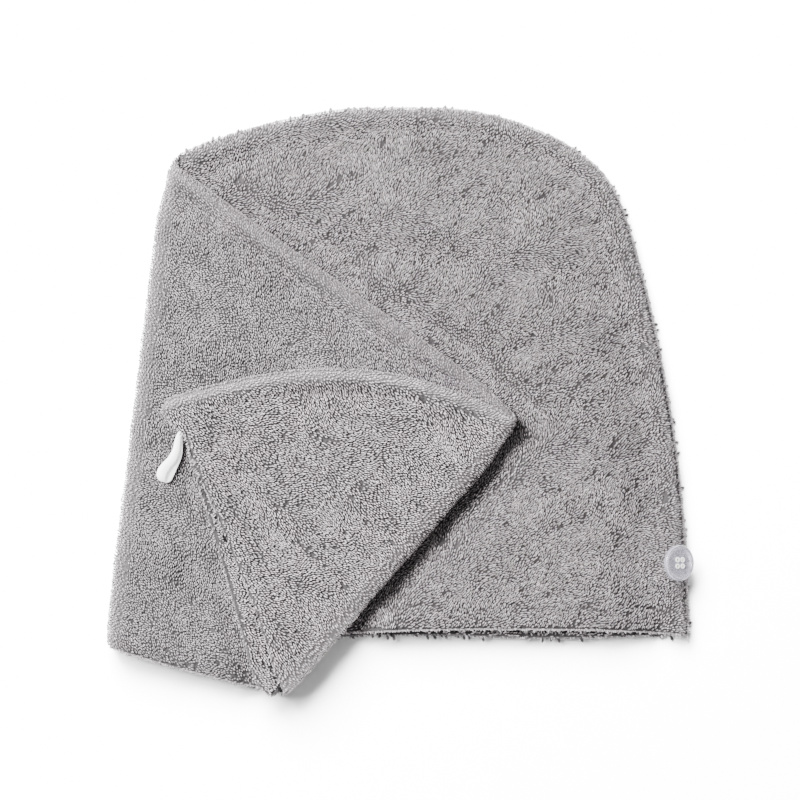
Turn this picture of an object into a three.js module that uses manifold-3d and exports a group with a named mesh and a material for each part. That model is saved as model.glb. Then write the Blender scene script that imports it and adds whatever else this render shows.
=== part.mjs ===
import * as THREE from "three";
import Module from "manifold-3d";
import { mergeVertices } from "three/addons/utils/BufferGeometryUtils.js";

// A towelling hair turban that lies flat, with its tail folded over twice.
// Two plies of terry are sewn together along the dome and the tail. The straight hem stays open:
// the head goes in there. A clear button sits at the nape, and a tape loop at the tail end.
//
// The flat pattern comes first, and each of its points is then folded to its place.
// Pattern frame: x runs along the hem from the nape corner to the tail end, y runs up from the hem.
// Part frame: X points to the nape, Y to the dome, Z up, and the towel rests on Z = 0.

// Terry, in millimetres
const BAG_LENGTH = 527; // along the hem, from the nape corner to the tail end
const DOME_HEIGHT = 259; // from the hem to the top of the dome
const PLY = 2.8; // one ply with its pile
const SEAM_GAP = 0.6; // between the plies where they are sewn together
const NEST = 1; // air between plies that lie on each other
const EDGE_ROUND = 1.2; // how far a rounded edge is drawn in
const EDGE_SHARE = 0.5; // and at most this share of the way to the next line of the grid
const EDGE_DROP = 0.9; // how far the ply thins towards its edge
const EDGE_RUN = 4; // over this distance

// The two folds of the tail
const FOLD_ONE_ALONG = 276.8; // where the first crease meets the hem
const FOLD_ONE_LEAN = 7; // degrees, towards the nape going up
const FOLD_TWO_ALONG = 368.4; // where the second crease meets the hem
const FOLD_TWO_LEAN = -27.1; // degrees, towards the tail going up
const PINCH_SEAM = 0.5; // share of its reach that a fold keeps where its end is sewn
const PINCH_HEM = 0.75; // and at the hem
const PINCH_RUN = 22; // over this distance

// Hem
const HEM_WIDTH = 12; // turned-in band
const HEM_EXTRA = 0.6; // by which the band is thicker, where it lies on top
const HEM_BLEND = 2; // half the width of the step behind the band
const HEM_SWING = 10; // the hems hang out or draw back by shares of this, see HEM

// Seam roll: the seam allowance inside makes a roll, with a dip behind it
const ROLL_HEIGHT = 1.7;
const ROLL_AT = 5; // from the seam
const ROLL_SPREAD = 3;
const DIP_DEPTH = 0.5;
const DIP_AT = 14;
const DIP_SPREAD = 4;
const CLOSE_RUN = 14; // the plies part over this distance from the seam

// Loft of the two plies
const BODY_LOFT = 6.6; // in the open pocket, beyond the gap between nested plies
const BODY_LOFT_FROM = 9; // from the seam
const BODY_LOFT_TO = 42;
const BODY_LOFT_RUN = 16; // from the edge of the folded tail
const FLAP_LOFT = 1.3;
const TOP_LOFT = 1;
const TAIL_LOFT_TO = 36; // from the seam
const PRESS_CLEAR = 9; // the cloth under the tail is pressed flat, up to this far outside
const PRESS_RUN = 7; // and rises over this distance
const SLOT_OPEN = 2; // the top piece's two hems gape beside the second fold
const SLOT_SPREAD = 16;
const SAG_FROM = 2; // below the straight hem line
const SAG_RUN = 24; // the tail hangs over the body's hem, and comes down over this distance
const SAG_DROP = 4.2;

// Button, sewn on the rounded shoulder beside the nape seam
const BUTTON_DIAMETER = 17.5;
const BUTTON_THICK = 2.6;
const BUTTON_RIM = 1.7; // width of the raised rim
const BUTTON_DISH = 0.7; // depth inside the rim
const BUTTON_EDGE = 0.8; // bevel of the disc's edge
const BUTTON_SIDES = 32;
const BUTTON_ALONG = 4.4;
const BUTTON_UP = 37.6;
const BUTTON_TILT = 37; // degrees, outwards
const HOLE_DIAMETER = 1.9;
const HOLE_PITCH = 3.1;
const HOLE_SIDES = 10;
const THREAD_DIAMETER = 1.1;
const THREAD_STEPS = 14; // along one stitch
const THREAD_SIDES = 3; // per half turn
const THREAD_PAD = 0.7; // height of the stitches under the button
const PAD_SIDES = 12;
const SEAT_RINGS = 3; // at which the cloth under the disc is felt for
const SHOULDER_SPREAD = 15; // the cloth is pulled up behind the button over this distance
const FIT_GAP = 0.35; // between a fitted piece and what carries it

// Loop of satin tape
const TAPE_WIDTH = 4.6;
const TAPE_THICK = 0.8;
const LOOP_ALONG = 511; // its root, in the pattern
const LOOP_UP = 1.2;
const LOOP_REACH = 28.5; // from the root to the end of the loop
const LOOP_OPEN = 3.4; // scale of the distance between the two strands
const LOOP_TURN = 36; // degrees, from straight out of the hem towards the mouth
const LOOP_TILT = 38; // degrees, from flat
const LOOP_GAP = 0.8; // between the tape and the cloth under it
const LOOP_STEPS = 3; // of the mesh, per row of its route

// The sewn outline, from the nape corner over the dome to the tail end.
// along is a share of BAG_LENGTH, up a share of DOME_HEIGHT.
const OUTLINE = [
  { along: 0, up: 0 },
  { along: 0.0044, up: 0.208 },
  { along: 0.0176, up: 0.434 },
  { along: 0.04, up: 0.66 },
  { along: 0.0653, up: 0.83 },
  { along: 0.083, up: 0.885 },
  { along: 0.123, up: 0.943 },
  { along: 0.192, up: 0.991 },
  { along: 0.265, up: 1 },
  { along: 0.332, up: 0.994 },
  { along: 0.436, up: 0.942 },
  { along: 0.484, up: 0.901 },
  { along: 0.57, up: 0.829 },
  { along: 0.67, up: 0.751 },
  { along: 0.781, up: 0.664 },
  { along: 0.844, up: 0.602 },
  { along: 0.892, up: 0.523 },
  { along: 0.945, up: 0.389 },
  { along: 0.979, up: 0.233 },
  { along: 0.996, up: 0.065 },
  { along: 1, up: -0.022 },
];
const NAPE_TURN = 5; // the row where the side seam turns into the dome
const TAIL_TURN = 16; // the row where the tail's seam turns down to its end

// The open hem of each ply, up from the straight hem line. along is a share of BAG_LENGTH, back and
// front are shares of HEM_SWING. The mouth comes first, then the folds, then the top piece.
const HEM = [
  { along: 0, back: 0.25, front: 0.25 },
  { along: 0.053, back: 0.18, front: 0.42 },
  { along: 0.127, back: 0.08, front: 0.52 },
  { along: 0.243, back: 0.24, front: 0.5 },
  { along: 0.323, back: 0.17, front: 0.3 },
  { along: 0.39, back: 0, front: 0 },
  { along: 0.49, back: -0.25, front: -0.25 },
  { along: 0.525, back: -0.32, front: -0.32 },
  { along: 0.546, back: -0.36, front: -0.36 },
  { along: 0.598, back: -0.48, front: -0.48 },
  { along: 0.658, back: -0.52, front: -0.52 },
  { along: 0.695, back: -0.52, front: -0.46 },
  { along: 0.722, back: -1.45, front: -0.5 },
  { along: 0.766, back: -1.3, front: -0.32 },
  { along: 0.803, back: -1.08, front: -0.26 },
  { along: 0.85, back: -0.82, front: -0.28 },
  { along: 0.892, back: -0.65, front: -0.3 },
  { along: 0.945, back: -0.42, front: -0.36 },
  { along: 0.962, back: -0.2, front: -0.2 },
  { along: 1, back: -0.57, front: -0.57 },
];

// Creases of the lying cloth: a dip has a negative rise. Ends are shares of FOLD_ONE_ALONG and
// DOME_HEIGHT, spread and rise are in millimetres.
const CREASES = [
  { piece: "body", from: [0.81, 0.83], to: [0.6, 0.735], spread: 8, rise: -1.2 },
  { piece: "body", from: [0.6, 0.735], to: [0.14, 0.65], spread: 9, rise: -1.7 },
  { piece: "body", from: [0.44, 0.565], to: [0.14, 0.51], spread: 8, rise: -1.5 },
  { piece: "body", from: [0.35, 0.455], to: [0.17, 0.41], spread: 7, rise: -1 },
  { piece: "body", from: [0.5, 0.79], to: [0.3, 0.745], spread: 8, rise: 0.8 },
  { piece: "body", from: [0.33, 0.6], to: [0.18, 0.575], spread: 7, rise: 0.8 },
  { piece: "flap", from: [0.88, 0.8], to: [0.76, 0.68], spread: 7, rise: -0.9 },
  { piece: "flap", from: [0.93, 0.3], to: [0.86, 0.1], spread: 6, rise: -0.6 },
  { piece: "top", from: [0.58, 0.4], to: [0.42, 0.34], spread: 6, rise: -0.7 },
  { piece: "top", from: [0.86, 0.4], to: [0.74, 0.28], spread: 7, rise: -0.6 },
];
const LEAST_GAP = 0.6; // no crease closes the plies further

// Where the grid's lines lie across each part of the pattern, as shares of its width
const BODY_LINES = [0, 0.012, 0.025, 0.042, 0.066, 0.1, 0.14, 0.19, 0.245, 0.3, 0.36, 0.42, 0.48]
  .concat([0.54, 0.6, 0.66, 0.72, 0.79, 0.86, 0.93, 1]);
const FLAP_LINES = [0, 0.1, 0.2, 0.3, 0.4, 0.5, 0.59, 0.68, 0.77, 0.85, 0.93, 1];
const TOP_LINES = [0, 0.11, 0.22, 0.34, 0.46, 0.58, 0.7, 0.8, 0.88, 0.94, 0.975, 1];
const ROW_LINES = [0, 0.018, 0.05, 0.095, 0.15, 0.22, 0.3, 0.38, 0.46, 0.55, 0.63, 0.71, 0.78]
  .concat([0.85, 0.9, 0.94, 0.97, 0.986, 1]);
const FOLD_STEPS = 7;

const RADIANS = Math.PI / 180;
const FOLD_RADIUS = PLY + NEST; // of the middle between the two plies
const HALF_TURN = Math.PI * FOLD_RADIUS;
const FOLD_REACH = 1.5 * FOLD_RADIUS + PLY / 2; // from a crease line to the fold's outer edge
const SEAM_SAMPLES = 240;

const crease = (along, lean) => ({
  point: new THREE.Vector2(along, 0),
  normal: new THREE.Vector2(Math.cos(lean * RADIANS), Math.sin(lean * RADIANS)),
});
const foldOne = crease(FOLD_ONE_ALONG, FOLD_ONE_LEAN);
const foldTwo = crease(FOLD_TWO_ALONG, FOLD_TWO_LEAN);

const smooth = (from, to, value) => THREE.MathUtils.smoothstep(value, from, to);
const bump = (distance, spread) => Math.exp(-0.5 * (distance / spread) ** 2);

// Sewn outline of the pattern
const seam = new THREE.CatmullRomCurve3(
  OUTLINE.map((row) => new THREE.Vector3(row.along * BAG_LENGTH, row.up * DOME_HEIGHT, 0)),
  false,
  "centripetal",
);
seam.arcLengthDivisions = SEAM_SAMPLES * 4;
const seamLine = seam.getSpacedPoints(SEAM_SAMPLES);

const flat = (point) => new THREE.Vector2(point.x, point.y);
const seamAt = (share) => flat(seam.getPointAt(THREE.MathUtils.clamp(share, 0, 1)));

// Share of the seam's length at which one of the outline's rows lies
function seamShareOfRow(row) {
  const lengths = seam.getLengths(SEAM_SAMPLES * 4);
  const at = Math.round((row / (OUTLINE.length - 1)) * (lengths.length - 1));
  return lengths[at] / lengths[lengths.length - 1];
}

// Distance of a pattern point from the seam, positive inside the bag
function rimDistance(p) {
  let nearest = Infinity;
  let side = 1;
  for (let i = 0; i < SEAM_SAMPLES; i += 1) {
    const a = seamLine[i];
    const dx = seamLine[i + 1].x - a.x;
    const dy = seamLine[i + 1].y - a.y;
    const share = ((p.x - a.x) * dx + (p.y - a.y) * dy) / (dx * dx + dy * dy);
    const held = THREE.MathUtils.clamp(share, 0, 1);
    const gap = Math.hypot(p.x - a.x - held * dx, p.y - a.y - held * dy);
    if (gap < nearest) {
      nearest = gap;
      side = dx * (p.y - a.y) - dy * (p.x - a.x) > 0 ? -1 : 1;
    }
  }
  return nearest * side;
}

// Signed distance of a pattern point past a crease, towards the tail
const past = (fold, p) => p.clone().sub(fold.point).dot(fold.normal);

// Where a point past a fold comes to lie, and the other way round
const turnBack = (fold, p) => p.clone().addScaledVector(fold.normal, HALF_TURN - 2 * past(fold, p));

// How far a place on the floor plan lies outside the folded tail, or outside its top piece
function outsideFlap(q) {
  const p = turnBack(foldOne, q);
  return Math.hypot(Math.max(-rimDistance(p), 0), Math.max(past(foldTwo, p) - FOLD_REACH, 0));
}

function outsideTop(q) {
  const p = turnBack(foldTwo, turnBack(foldOne, q));
  const beyondHem = Math.max(hemUp("back", p.x) - p.y, 0);
  const beyondFold = Math.max(past(foldTwo, turnBack(foldOne, q)) - FOLD_REACH, 0);
  return Math.hypot(Math.max(-rimDistance(p), 0), beyondHem, beyondFold);
}

// Height that the creases of one piece give at a place on the floor plan
function creased(piece, q) {
  let rise = 0;
  for (const row of CREASES.filter((one) => one.piece === piece)) {
    const a = new THREE.Vector2(row.from[0] * FOLD_ONE_ALONG, row.from[1] * DOME_HEIGHT);
    const run = new THREE.Vector2(row.to[0] * FOLD_ONE_ALONG, row.to[1] * DOME_HEIGHT).sub(a);
    const share = THREE.MathUtils.clamp(q.clone().sub(a).dot(run) / run.lengthSq(), 0, 1);
    rise += row.rise * bump(q.distanceTo(a.addScaledVector(run, share)), row.spread);
  }
  return rise;
}

const rolled = (rim) =>
  ROLL_HEIGHT * bump(rim - ROLL_AT, ROLL_SPREAD) * smooth(0, ROLL_SPREAD, rim) -
  DIP_DEPTH * bump(rim - DIP_AT, DIP_SPREAD);

const slotPlace = turnBack(foldOne, new THREE.Vector2(FOLD_TWO_ALONG, 0));
const loopRoot = turnBack(
  foldOne,
  turnBack(foldTwo, new THREE.Vector2(LOOP_ALONG, LOOP_UP)),
);
const buttonPlace = new THREE.Vector2(BUTTON_ALONG, BUTTON_UP);

// 0 under the folded tail and close to it, 1 where the cloth is free to rise
const freed = (outside) => smooth(PRESS_CLEAR, PRESS_CLEAR + PRESS_RUN, outside);

// Air between the two plies of a piece, at a place q of the floor plan
function airGap(piece, q, rim) {
  const inside = Math.max(rim, 0);
  let gap = SEAM_GAP + (NEST - SEAM_GAP) * smooth(0, CLOSE_RUN, inside);
  if (piece === "body") {
    const outside = outsideFlap(q);
    const open = freed(outside);
    const shoulder = bump(q.distanceTo(buttonPlace), SHOULDER_SPREAD);
    const lofted = Math.max(
      smooth(BODY_LOFT_FROM, BODY_LOFT_TO, inside),
      shoulder * smooth(0, BODY_LOFT_FROM, inside),
    );
    gap += BODY_LOFT * lofted * smooth(PRESS_CLEAR, PRESS_CLEAR + BODY_LOFT_RUN, outside);
    gap += (rolled(rim) * (1 - shoulder) + creased(piece, q) * lofted) * open;
  } else if (piece === "flap") {
    const open = freed(outsideTop(q));
    gap += FLAP_LOFT * smooth(ROLL_AT, TAIL_LOFT_TO, inside) * open;
    gap += (rolled(rim) + creased(piece, q)) * open;
  } else {
    gap += TOP_LOFT * smooth(ROLL_AT, TAIL_LOFT_TO, inside) + rolled(rim) + creased(piece, q);
    gap += SLOT_OPEN * bump(q.distanceTo(slotPlace), SLOT_SPREAD);
    gap = Math.max(gap, loopRoom(q));
  }
  return Math.max(gap, LEAST_GAP);
}

// Room between the top piece's plies for the two strands of the loop
const LOOP_ROOM = 2 * TAPE_THICK + 2 * LOOP_GAP + 2 * FIT_GAP;
const loopRoom = (q) => LOOP_ROOM * bump(Math.max(q.distanceTo(loopRoot) - 2 * TAPE_WIDTH, 0), TAPE_WIDTH);

const sag = (q) => SAG_DROP * smooth(SAG_FROM, SAG_FROM + SAG_RUN, -q.y);
const flapBase = (q) => 2 * PLY + 2 * NEST - sag(q);
const topBase = (q) => 4 * PLY + 4 * NEST - sag(q);

// Height of one face of a ply: side 0 faces down, side 1 faces up
function height(piece, panel, side, q, rim, hem) {
  const lower = (piece === "flap") === (panel === "front");
  let base = 0;
  if (piece === "flap") base = flapBase(q);
  if (piece === "top") base = topBase(q);
  if (!lower) base += PLY + airGap(piece, q, rim);
  if (side === 0) return base;
  if (lower) return base + PLY;
  const free = piece === "top" ? 1 : freed(piece === "flap" ? outsideTop(q) : outsideFlap(q));
  const band = HEM_EXTRA * free * (1 - smooth(HEM_WIDTH - HEM_BLEND, HEM_WIDTH + HEM_BLEND, hem));
  return base + PLY + band - EDGE_DROP * (1 - smooth(0, EDGE_RUN, Math.min(rim, hem)));
}

// A face is named by the side of the bag it is on: the outer face of the back ply lies down in the
// body, up in the flap and down again in the top piece.
const facesUp = (piece, panel, outer) => ((piece === "flap") === (panel === "back") ? outer : !outer);

function faceHeight(piece, panel, outer, q, rim, hem) {
  return height(piece, panel, facesUp(piece, panel, outer) ? 1 : 0, q, rim, hem);
}

// Value of a column of the hem table, on a smooth curve through its rows
function hemUp(panel, along) {
  const share = THREE.MathUtils.clamp(along / BAG_LENGTH, 0, 1);
  const at = (k) => HEM[THREE.MathUtils.clamp(k, 0, HEM.length - 1)];
  const i = Math.max(HEM.findIndex((row) => row.along >= share), 1) - 1;
  const slope = (k) => (at(k + 1)[panel] - at(k - 1)[panel]) / (at(k + 1).along - at(k - 1).along);
  const run = at(i + 1).along - at(i).along;
  const t = (share - at(i).along) / run;
  const rise = at(i + 1)[panel] - at(i)[panel];
  const bend = (slope(i) * run - rise) * (1 - t) - (slope(i + 1) * run - rise) * t;
  return HEM_SWING * (at(i)[panel] + rise * t + t * (1 - t) * bend);
}

// A point of the pattern, folded to its place
function place(p, panel, outer) {
  const rim = rimDistance(p);
  const hem = p.y - hemUp(panel, p.x);
  const at = (piece, q) => faceHeight(piece, panel, outer, q, rim, hem);
  const lie = (piece, q) => new THREE.Vector3(-q.x, q.y, at(piece, q));
  const bend = (q, out, angle, from, to) => {
    const low = at(from, q);
    const high = at(to, q);
    const radius = (high - low) / 2;
    const sewn = THREE.MathUtils.lerp(PINCH_SEAM, 1, smooth(0, PINCH_RUN, rim));
    const open = THREE.MathUtils.lerp(PINCH_HEM, 1, smooth(0, PINCH_RUN, hem));
    const reach = radius * Math.sin(angle) * sewn * open;
    return new THREE.Vector3(
      -(q.x + out.x * reach),
      q.y + out.y * reach,
      low + radius * (1 - Math.cos(angle)),
    );
  };
  const pastOne = past(foldOne, p);
  const pastTwo = past(foldTwo, p);
  if (pastTwo >= HALF_TURN) return lie("top", turnBack(foldOne, turnBack(foldTwo, p)));
  if (pastTwo > 0) {
    const foot = turnBack(foldOne, p.clone().addScaledVector(foldTwo.normal, -pastTwo));
    const across = 2 * foldTwo.normal.dot(foldOne.normal);
    const out = foldTwo.normal.clone().addScaledVector(foldOne.normal, -across);
    return bend(foot, out, pastTwo / FOLD_RADIUS, "flap", "top");
  }
  if (pastOne >= HALF_TURN) return lie("flap", turnBack(foldOne, p));
  if (pastOne > 0) {
    const foot = p.clone().addScaledVector(foldOne.normal, -pastOne);
    return bend(foot, foldOne.normal, pastOne / FOLD_RADIUS, "body", "flap");
  }
  return lie("body", p);
}

// Where a line parallel to a crease, at a distance past it, meets the hem and the seam
function hemCrossing(panel, fold, distance) {
  let p = new THREE.Vector2(fold.point.x + distance / fold.normal.x, 0);
  for (let i = 0; i < 4; i += 1) {
    const up = hemUp(panel, p.x);
    p = new THREE.Vector2(fold.point.x + (distance - up * fold.normal.y) / fold.normal.x, up);
  }
  return p;
}

function seamCrossing(fold, distance) {
  let low = seamShareOfRow(NAPE_TURN);
  let high = 1;
  for (let i = 0; i < 40; i += 1) {
    const middle = (low + high) / 2;
    if (past(fold, seamAt(middle)) < distance) low = middle;
    else high = middle;
  }
  return low;
}

const mix = (a, b, share) => a.clone().lerp(b, share);

// A patch between four edges: hem and rim are functions along it, start and end functions up it
function patch(hem, rim, start, end) {
  return (s, v) => {
    const ruled = mix(hem(s), rim(s), v).add(mix(start(v), end(v), s));
    const low = mix(hem(0), hem(1), s);
    const high = mix(rim(0), rim(1), s);
    return ruled.sub(mix(low, high, v));
  };
}

// The flat pattern as columns of points, from the nape to the tail end
function patternColumns(panel) {
  const onHem = (along) => new THREE.Vector2(along, hemUp(panel, along));
  const cross = (fold, distance) => ({
    hem: hemCrossing(panel, fold, distance),
    rim: seamCrossing(fold, distance),
  });
  const straight = (line) => (v) => mix(line.hem, seamAt(line.rim), v);
  const nape = seamShareOfRow(NAPE_TURN);
  const tail = seamShareOfRow(TAIL_TURN);
  const stretch = (from, to) => (s) => THREE.MathUtils.lerp(from, to, s);
  const between = (start, end) => ({
    hem: (s) => onHem(stretch(start.hem.x, end.hem.x)(s)),
    rim: (s) => seamAt(stretch(start.rim, end.rim)(s)),
  });
  const corner = (along, rim) => ({ hem: onHem(along), rim });
  // a ply's own end line runs from its hem up the side seam
  const endLine = (line, from, to) => (v) => {
    const point = seamAt(stretch(from, to)(v));
    return point.add(line.hem.clone().sub(seamAt(from)).multiplyScalar(1 - v));
  };

  const napeEdge = corner(0, nape);
  const tailEdge = corner(BAG_LENGTH, tail);
  const one = [cross(foldOne, 0), cross(foldOne, HALF_TURN)];
  const two = [cross(foldTwo, 0), cross(foldTwo, HALF_TURN)];
  const body = between(napeEdge, one[0]);
  const flap = between(one[1], two[0]);
  const top = between(two[1], tailEdge);
  const bodyPatch = patch(body.hem, body.rim, endLine(napeEdge, 0, nape), straight(one[0]));
  const flapPatch = patch(flap.hem, flap.rim, straight(one[1]), straight(two[0]));
  const topPatch = patch(top.hem, top.rim, straight(two[1]), endLine(tailEdge, 1, tail));

  const columns = [];
  const addPatch = (shape, lines) => lines.forEach((s) => columns.push((v) => shape(s, v)));
  const addFold = (fold) => {
    for (let i = 1; i < FOLD_STEPS; i += 1) {
      columns.push(straight(cross(fold, (HALF_TURN * i) / FOLD_STEPS)));
    }
  };
  addPatch(bodyPatch, BODY_LINES);
  addFold(foldOne);
  addPatch(flapPatch, FLAP_LINES);
  addFold(foldTwo);
  addPatch(topPatch, TOP_LINES);
  return columns;
}

// One panel as a closed solid: outer and inner face, and a rounded edge between them
function panelGeometry(panel) {
  const columns = patternColumns(panel);
  const across = columns.length - 1;
  const rows = ROW_LINES.length - 1;
  const positions = [];
  const addPoint = (point) => positions.push(point.x, point.y, point.z) / 3 - 1;

  const drawnIn = (i, j, outer) => {
    const p = columns[i](ROW_LINES[j]);
    const towards = new THREE.Vector2();
    const pull = (other) => {
      const run = other.clone().sub(p);
      towards.add(run.setLength(Math.min(EDGE_ROUND, EDGE_SHARE * run.length())));
    };
    if (j === 0) pull(columns[i](ROW_LINES[1]));
    if (outer && j === rows) pull(columns[i](ROW_LINES[rows - 1]));
    if (outer && i === 0) pull(columns[1](ROW_LINES[j]));
    if (outer && i === across) pull(columns[across - 1](ROW_LINES[j]));
    return p.add(towards);
  };
  const faceGrid = (outer) =>
    columns.map((column, i) => ROW_LINES.map((v, j) => addPoint(place(drawnIn(i, j, outer), panel, outer))));
  const outerFace = faceGrid(true);
  const innerFace = faceGrid(false);

  const ring = new Map();
  const onRing = ([i, j]) => {
    const key = i * (rows + 1) + j;
    if (!ring.has(key)) {
      const p = columns[i](ROW_LINES[j]);
      ring.set(key, addPoint(place(p, panel, true).lerp(place(p, panel, false), 0.5)));
    }
    return ring.get(key);
  };

  const triangles = [];
  const addQuad = (a, b, c, d) => triangles.push(a, b, c, a, c, d);
  const tailSide = across - TOP_LINES.length;
  for (let i = 0; i < across; i += 1) {
    for (let j = 0; j < rows; j += 1) {
      for (const [face, flipped] of [[outerFace, false], [innerFace, true]]) {
        const loop = [face[i][j], face[i + 1][j], face[i + 1][j + 1], face[i][j + 1]];
        if (i < tailSide) loop.push(loop.shift());
        if (flipped) loop.reverse();
        if (flipped) loop.unshift(loop.pop());
        addQuad(...loop);
      }
    }
  }

  const edge = [];
  for (let i = 0; i < across; i += 1) edge.push([i, 0]);
  for (let j = 0; j < rows; j += 1) edge.push([across, j]);
  for (let i = across; i > 0; i -= 1) edge.push([i, rows]);
  for (let j = rows; j > 0; j -= 1) edge.push([0, j]);
  edge.forEach((from, k) => {
    const to = edge[(k + 1) % edge.length];
    const grid = (face, [i, j]) => face[i][j];
    addQuad(grid(outerFace, to), grid(outerFace, from), onRing(from), onRing(to));
    addQuad(onRing(to), onRing(from), grid(innerFace, from), grid(innerFace, to));
  });

  if (panel === "front") triangles.reverse();
  const geometry = new THREE.BufferGeometry();
  geometry.setAttribute("position", new THREE.Float32BufferAttribute(positions, 3));
  geometry.setIndex(triangles);
  return geometry;
}

// Solids that are joined and cut
const wasm = await Module();
wasm.setup();

function solidOf(geometry) {
  const bare = geometry.clone();
  bare.deleteAttribute("normal");
  bare.deleteAttribute("uv");
  const merged = mergeVertices(bare, 1e-4);
  return new wasm.Manifold(
    new wasm.Mesh({
      numProp: 3,
      vertProperties: merged.attributes.position.array,
      triVerts: new Uint32Array(merged.index.array),
    }),
  );
}

function geometryOf(solid) {
  const made = solid.getMesh();
  const geometry = new THREE.BufferGeometry();
  geometry.setAttribute("position", new THREE.Float32BufferAttribute(made.vertProperties, 3));
  geometry.setIndex(Array.from(made.triVerts));
  geometry.computeVertexNormals();
  return geometry;
}

// Height of the front ply's upper face at a place of the pattern in the body
const bodyTop = (p) => place(p, "front", true).z;

// The button's frame: its middle plane clears the cloth under all of the disc
function buttonFrame() {
  const tilt = BUTTON_TILT * RADIANS;
  const radius = BUTTON_DIAMETER / 2;
  let lift = 0;
  for (let k = 0; k < BUTTON_SIDES; k += 1) {
    for (let ring = 0; ring <= SEAT_RINGS; ring += 1) {
      const turn = (k / BUTTON_SIDES) * 2 * Math.PI;
      const share = ring / SEAT_RINGS;
      const across = share * radius * Math.cos(turn);
      const p = new THREE.Vector2(
        BUTTON_ALONG + across * Math.cos(tilt),
        BUTTON_UP + share * radius * Math.sin(turn),
      );
      if (rimDistance(p) > 0) lift = Math.max(lift, bodyTop(p) - across * Math.sin(tilt));
    }
  }
  const off = (BUTTON_THICK / 2 + THREAD_PAD + 2 * FIT_GAP) / Math.cos(tilt);
  const frame = new THREE.Group();
  frame.position.set(-BUTTON_ALONG, BUTTON_UP, lift + off);
  frame.rotation.y = tilt;
  return frame;
}

const HOLES = [
  [-0.5, -0.5],
  [0.5, -0.5],
  [0.5, 0.5],
  [-0.5, 0.5],
].map(([x, y]) => new THREE.Vector2(x * HOLE_PITCH, y * HOLE_PITCH));

// Disc with a raised rim and four sewing holes
function buttonGeometry() {
  const radius = BUTTON_DIAMETER / 2;
  const half = BUTTON_THICK / 2;
  const profile = [
    [0, -half],
    [radius - BUTTON_EDGE, -half],
    [radius, -half + BUTTON_EDGE],
    [radius, half - BUTTON_EDGE],
    [radius - BUTTON_EDGE, half],
    [radius - BUTTON_RIM, half],
    [radius - BUTTON_RIM - BUTTON_DISH, half - BUTTON_DISH],
    [0, half - BUTTON_DISH],
  ].map(([x, y]) => new THREE.Vector2(x, y));
  let solid = solidOf(new THREE.LatheGeometry(profile, BUTTON_SIDES).rotateX(Math.PI / 2));
  for (const hole of HOLES) {
    const wall = HOLE_DIAMETER / 2;
    const bore = new THREE.CylinderGeometry(wall, wall, 2 * BUTTON_THICK, HOLE_SIDES);
    solid = solid.subtract(solidOf(bore.rotateX(Math.PI / 2).translate(hole.x, hole.y, 0)));
  }
  return geometryOf(solid);
}

// Two stitches through the holes, joined under the button by the pad of thread that is sewn down
function threadGeometry() {
  const radius = THREAD_DIAMETER / 2;
  const over = BUTTON_THICK / 2 - BUTTON_DISH + FIT_GAP + radius;
  const under = -BUTTON_THICK / 2 - FIT_GAP - THREAD_PAD / 2;
  const pad = new THREE.CylinderGeometry(HOLE_PITCH, HOLE_PITCH, THREAD_PAD, PAD_SIDES);
  let solid = solidOf(pad.rotateX(Math.PI / 2).translate(0, 0, under));
  for (const side of [-0.5, 0.5]) {
    const y = side * HOLE_PITCH;
    const x = HOLE_PITCH / 2;
    const route = new THREE.CurvePath();
    const bendAt = over - radius;
    const corner = (from, to) =>
      new THREE.QuadraticBezierCurve3(
        new THREE.Vector3(from, y, bendAt),
        new THREE.Vector3(from, y, over),
        new THREE.Vector3(to, y, over),
      );
    const left = corner(-x, -x + radius);
    const right = corner(x, x - radius);
    route.add(new THREE.LineCurve3(new THREE.Vector3(-x, y, under), left.v0));
    route.add(left);
    route.add(new THREE.LineCurve3(left.v2, right.v2));
    route.add(new THREE.QuadraticBezierCurve3(right.v2, right.v1, right.v0));
    route.add(new THREE.LineCurve3(right.v0, new THREE.Vector3(x, y, under)));
    const strand = new THREE.Shape().absarc(0, 0, radius, 0, 2 * Math.PI);
    const stitch = new THREE.ExtrudeGeometry(strand, {
      steps: THREAD_STEPS,
      extrudePath: route,
      curveSegments: THREAD_SIDES,
      bevelEnabled: false,
    });
    solid = solid.add(solidOf(stitch));
  }
  return geometryOf(solid);
}

// Tape loop: out of the tail end between its plies, round, and back in beside itself.
// reach and aside are shares of LOOP_REACH and LOOP_OPEN, rest is how far it has come down on the
// flap, tilt is a share of LOOP_TILT.
const LOOP_ROUTE = [
  { reach: -0.08, aside: 0, strand: 1, rest: 0, tilt: 0 },
  { reach: 0.16, aside: 0.1, strand: 1, rest: 0, tilt: 0 },
  { reach: 0.36, aside: 0.32, strand: 1, rest: 0.4, tilt: 0.6 },
  { reach: 0.58, aside: 0.52, strand: 1, rest: 0.85, tilt: 1 },
  { reach: 0.8, aside: 0.6, strand: 1, rest: 1, tilt: 1 },
  { reach: 0.95, aside: 0.42, strand: 1, rest: 1, tilt: 0.9 },
  { reach: 1, aside: 0, strand: 0.5, rest: 1, tilt: 0.9 },
  { reach: 0.94, aside: -0.42, strand: 0, rest: 1, tilt: 0.9 },
  { reach: 0.76, aside: -0.58, strand: 0, rest: 1, tilt: 1 },
  { reach: 0.54, aside: -0.5, strand: 0, rest: 0.85, tilt: 1 },
  { reach: 0.34, aside: -0.32, strand: 0, rest: 0.4, tilt: 0.5 },
  { reach: 0.16, aside: -0.1, strand: 0, rest: 0, tilt: 0 },
  { reach: -0.08, aside: 0, strand: 0, rest: 0, tilt: 0 },
];

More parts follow.
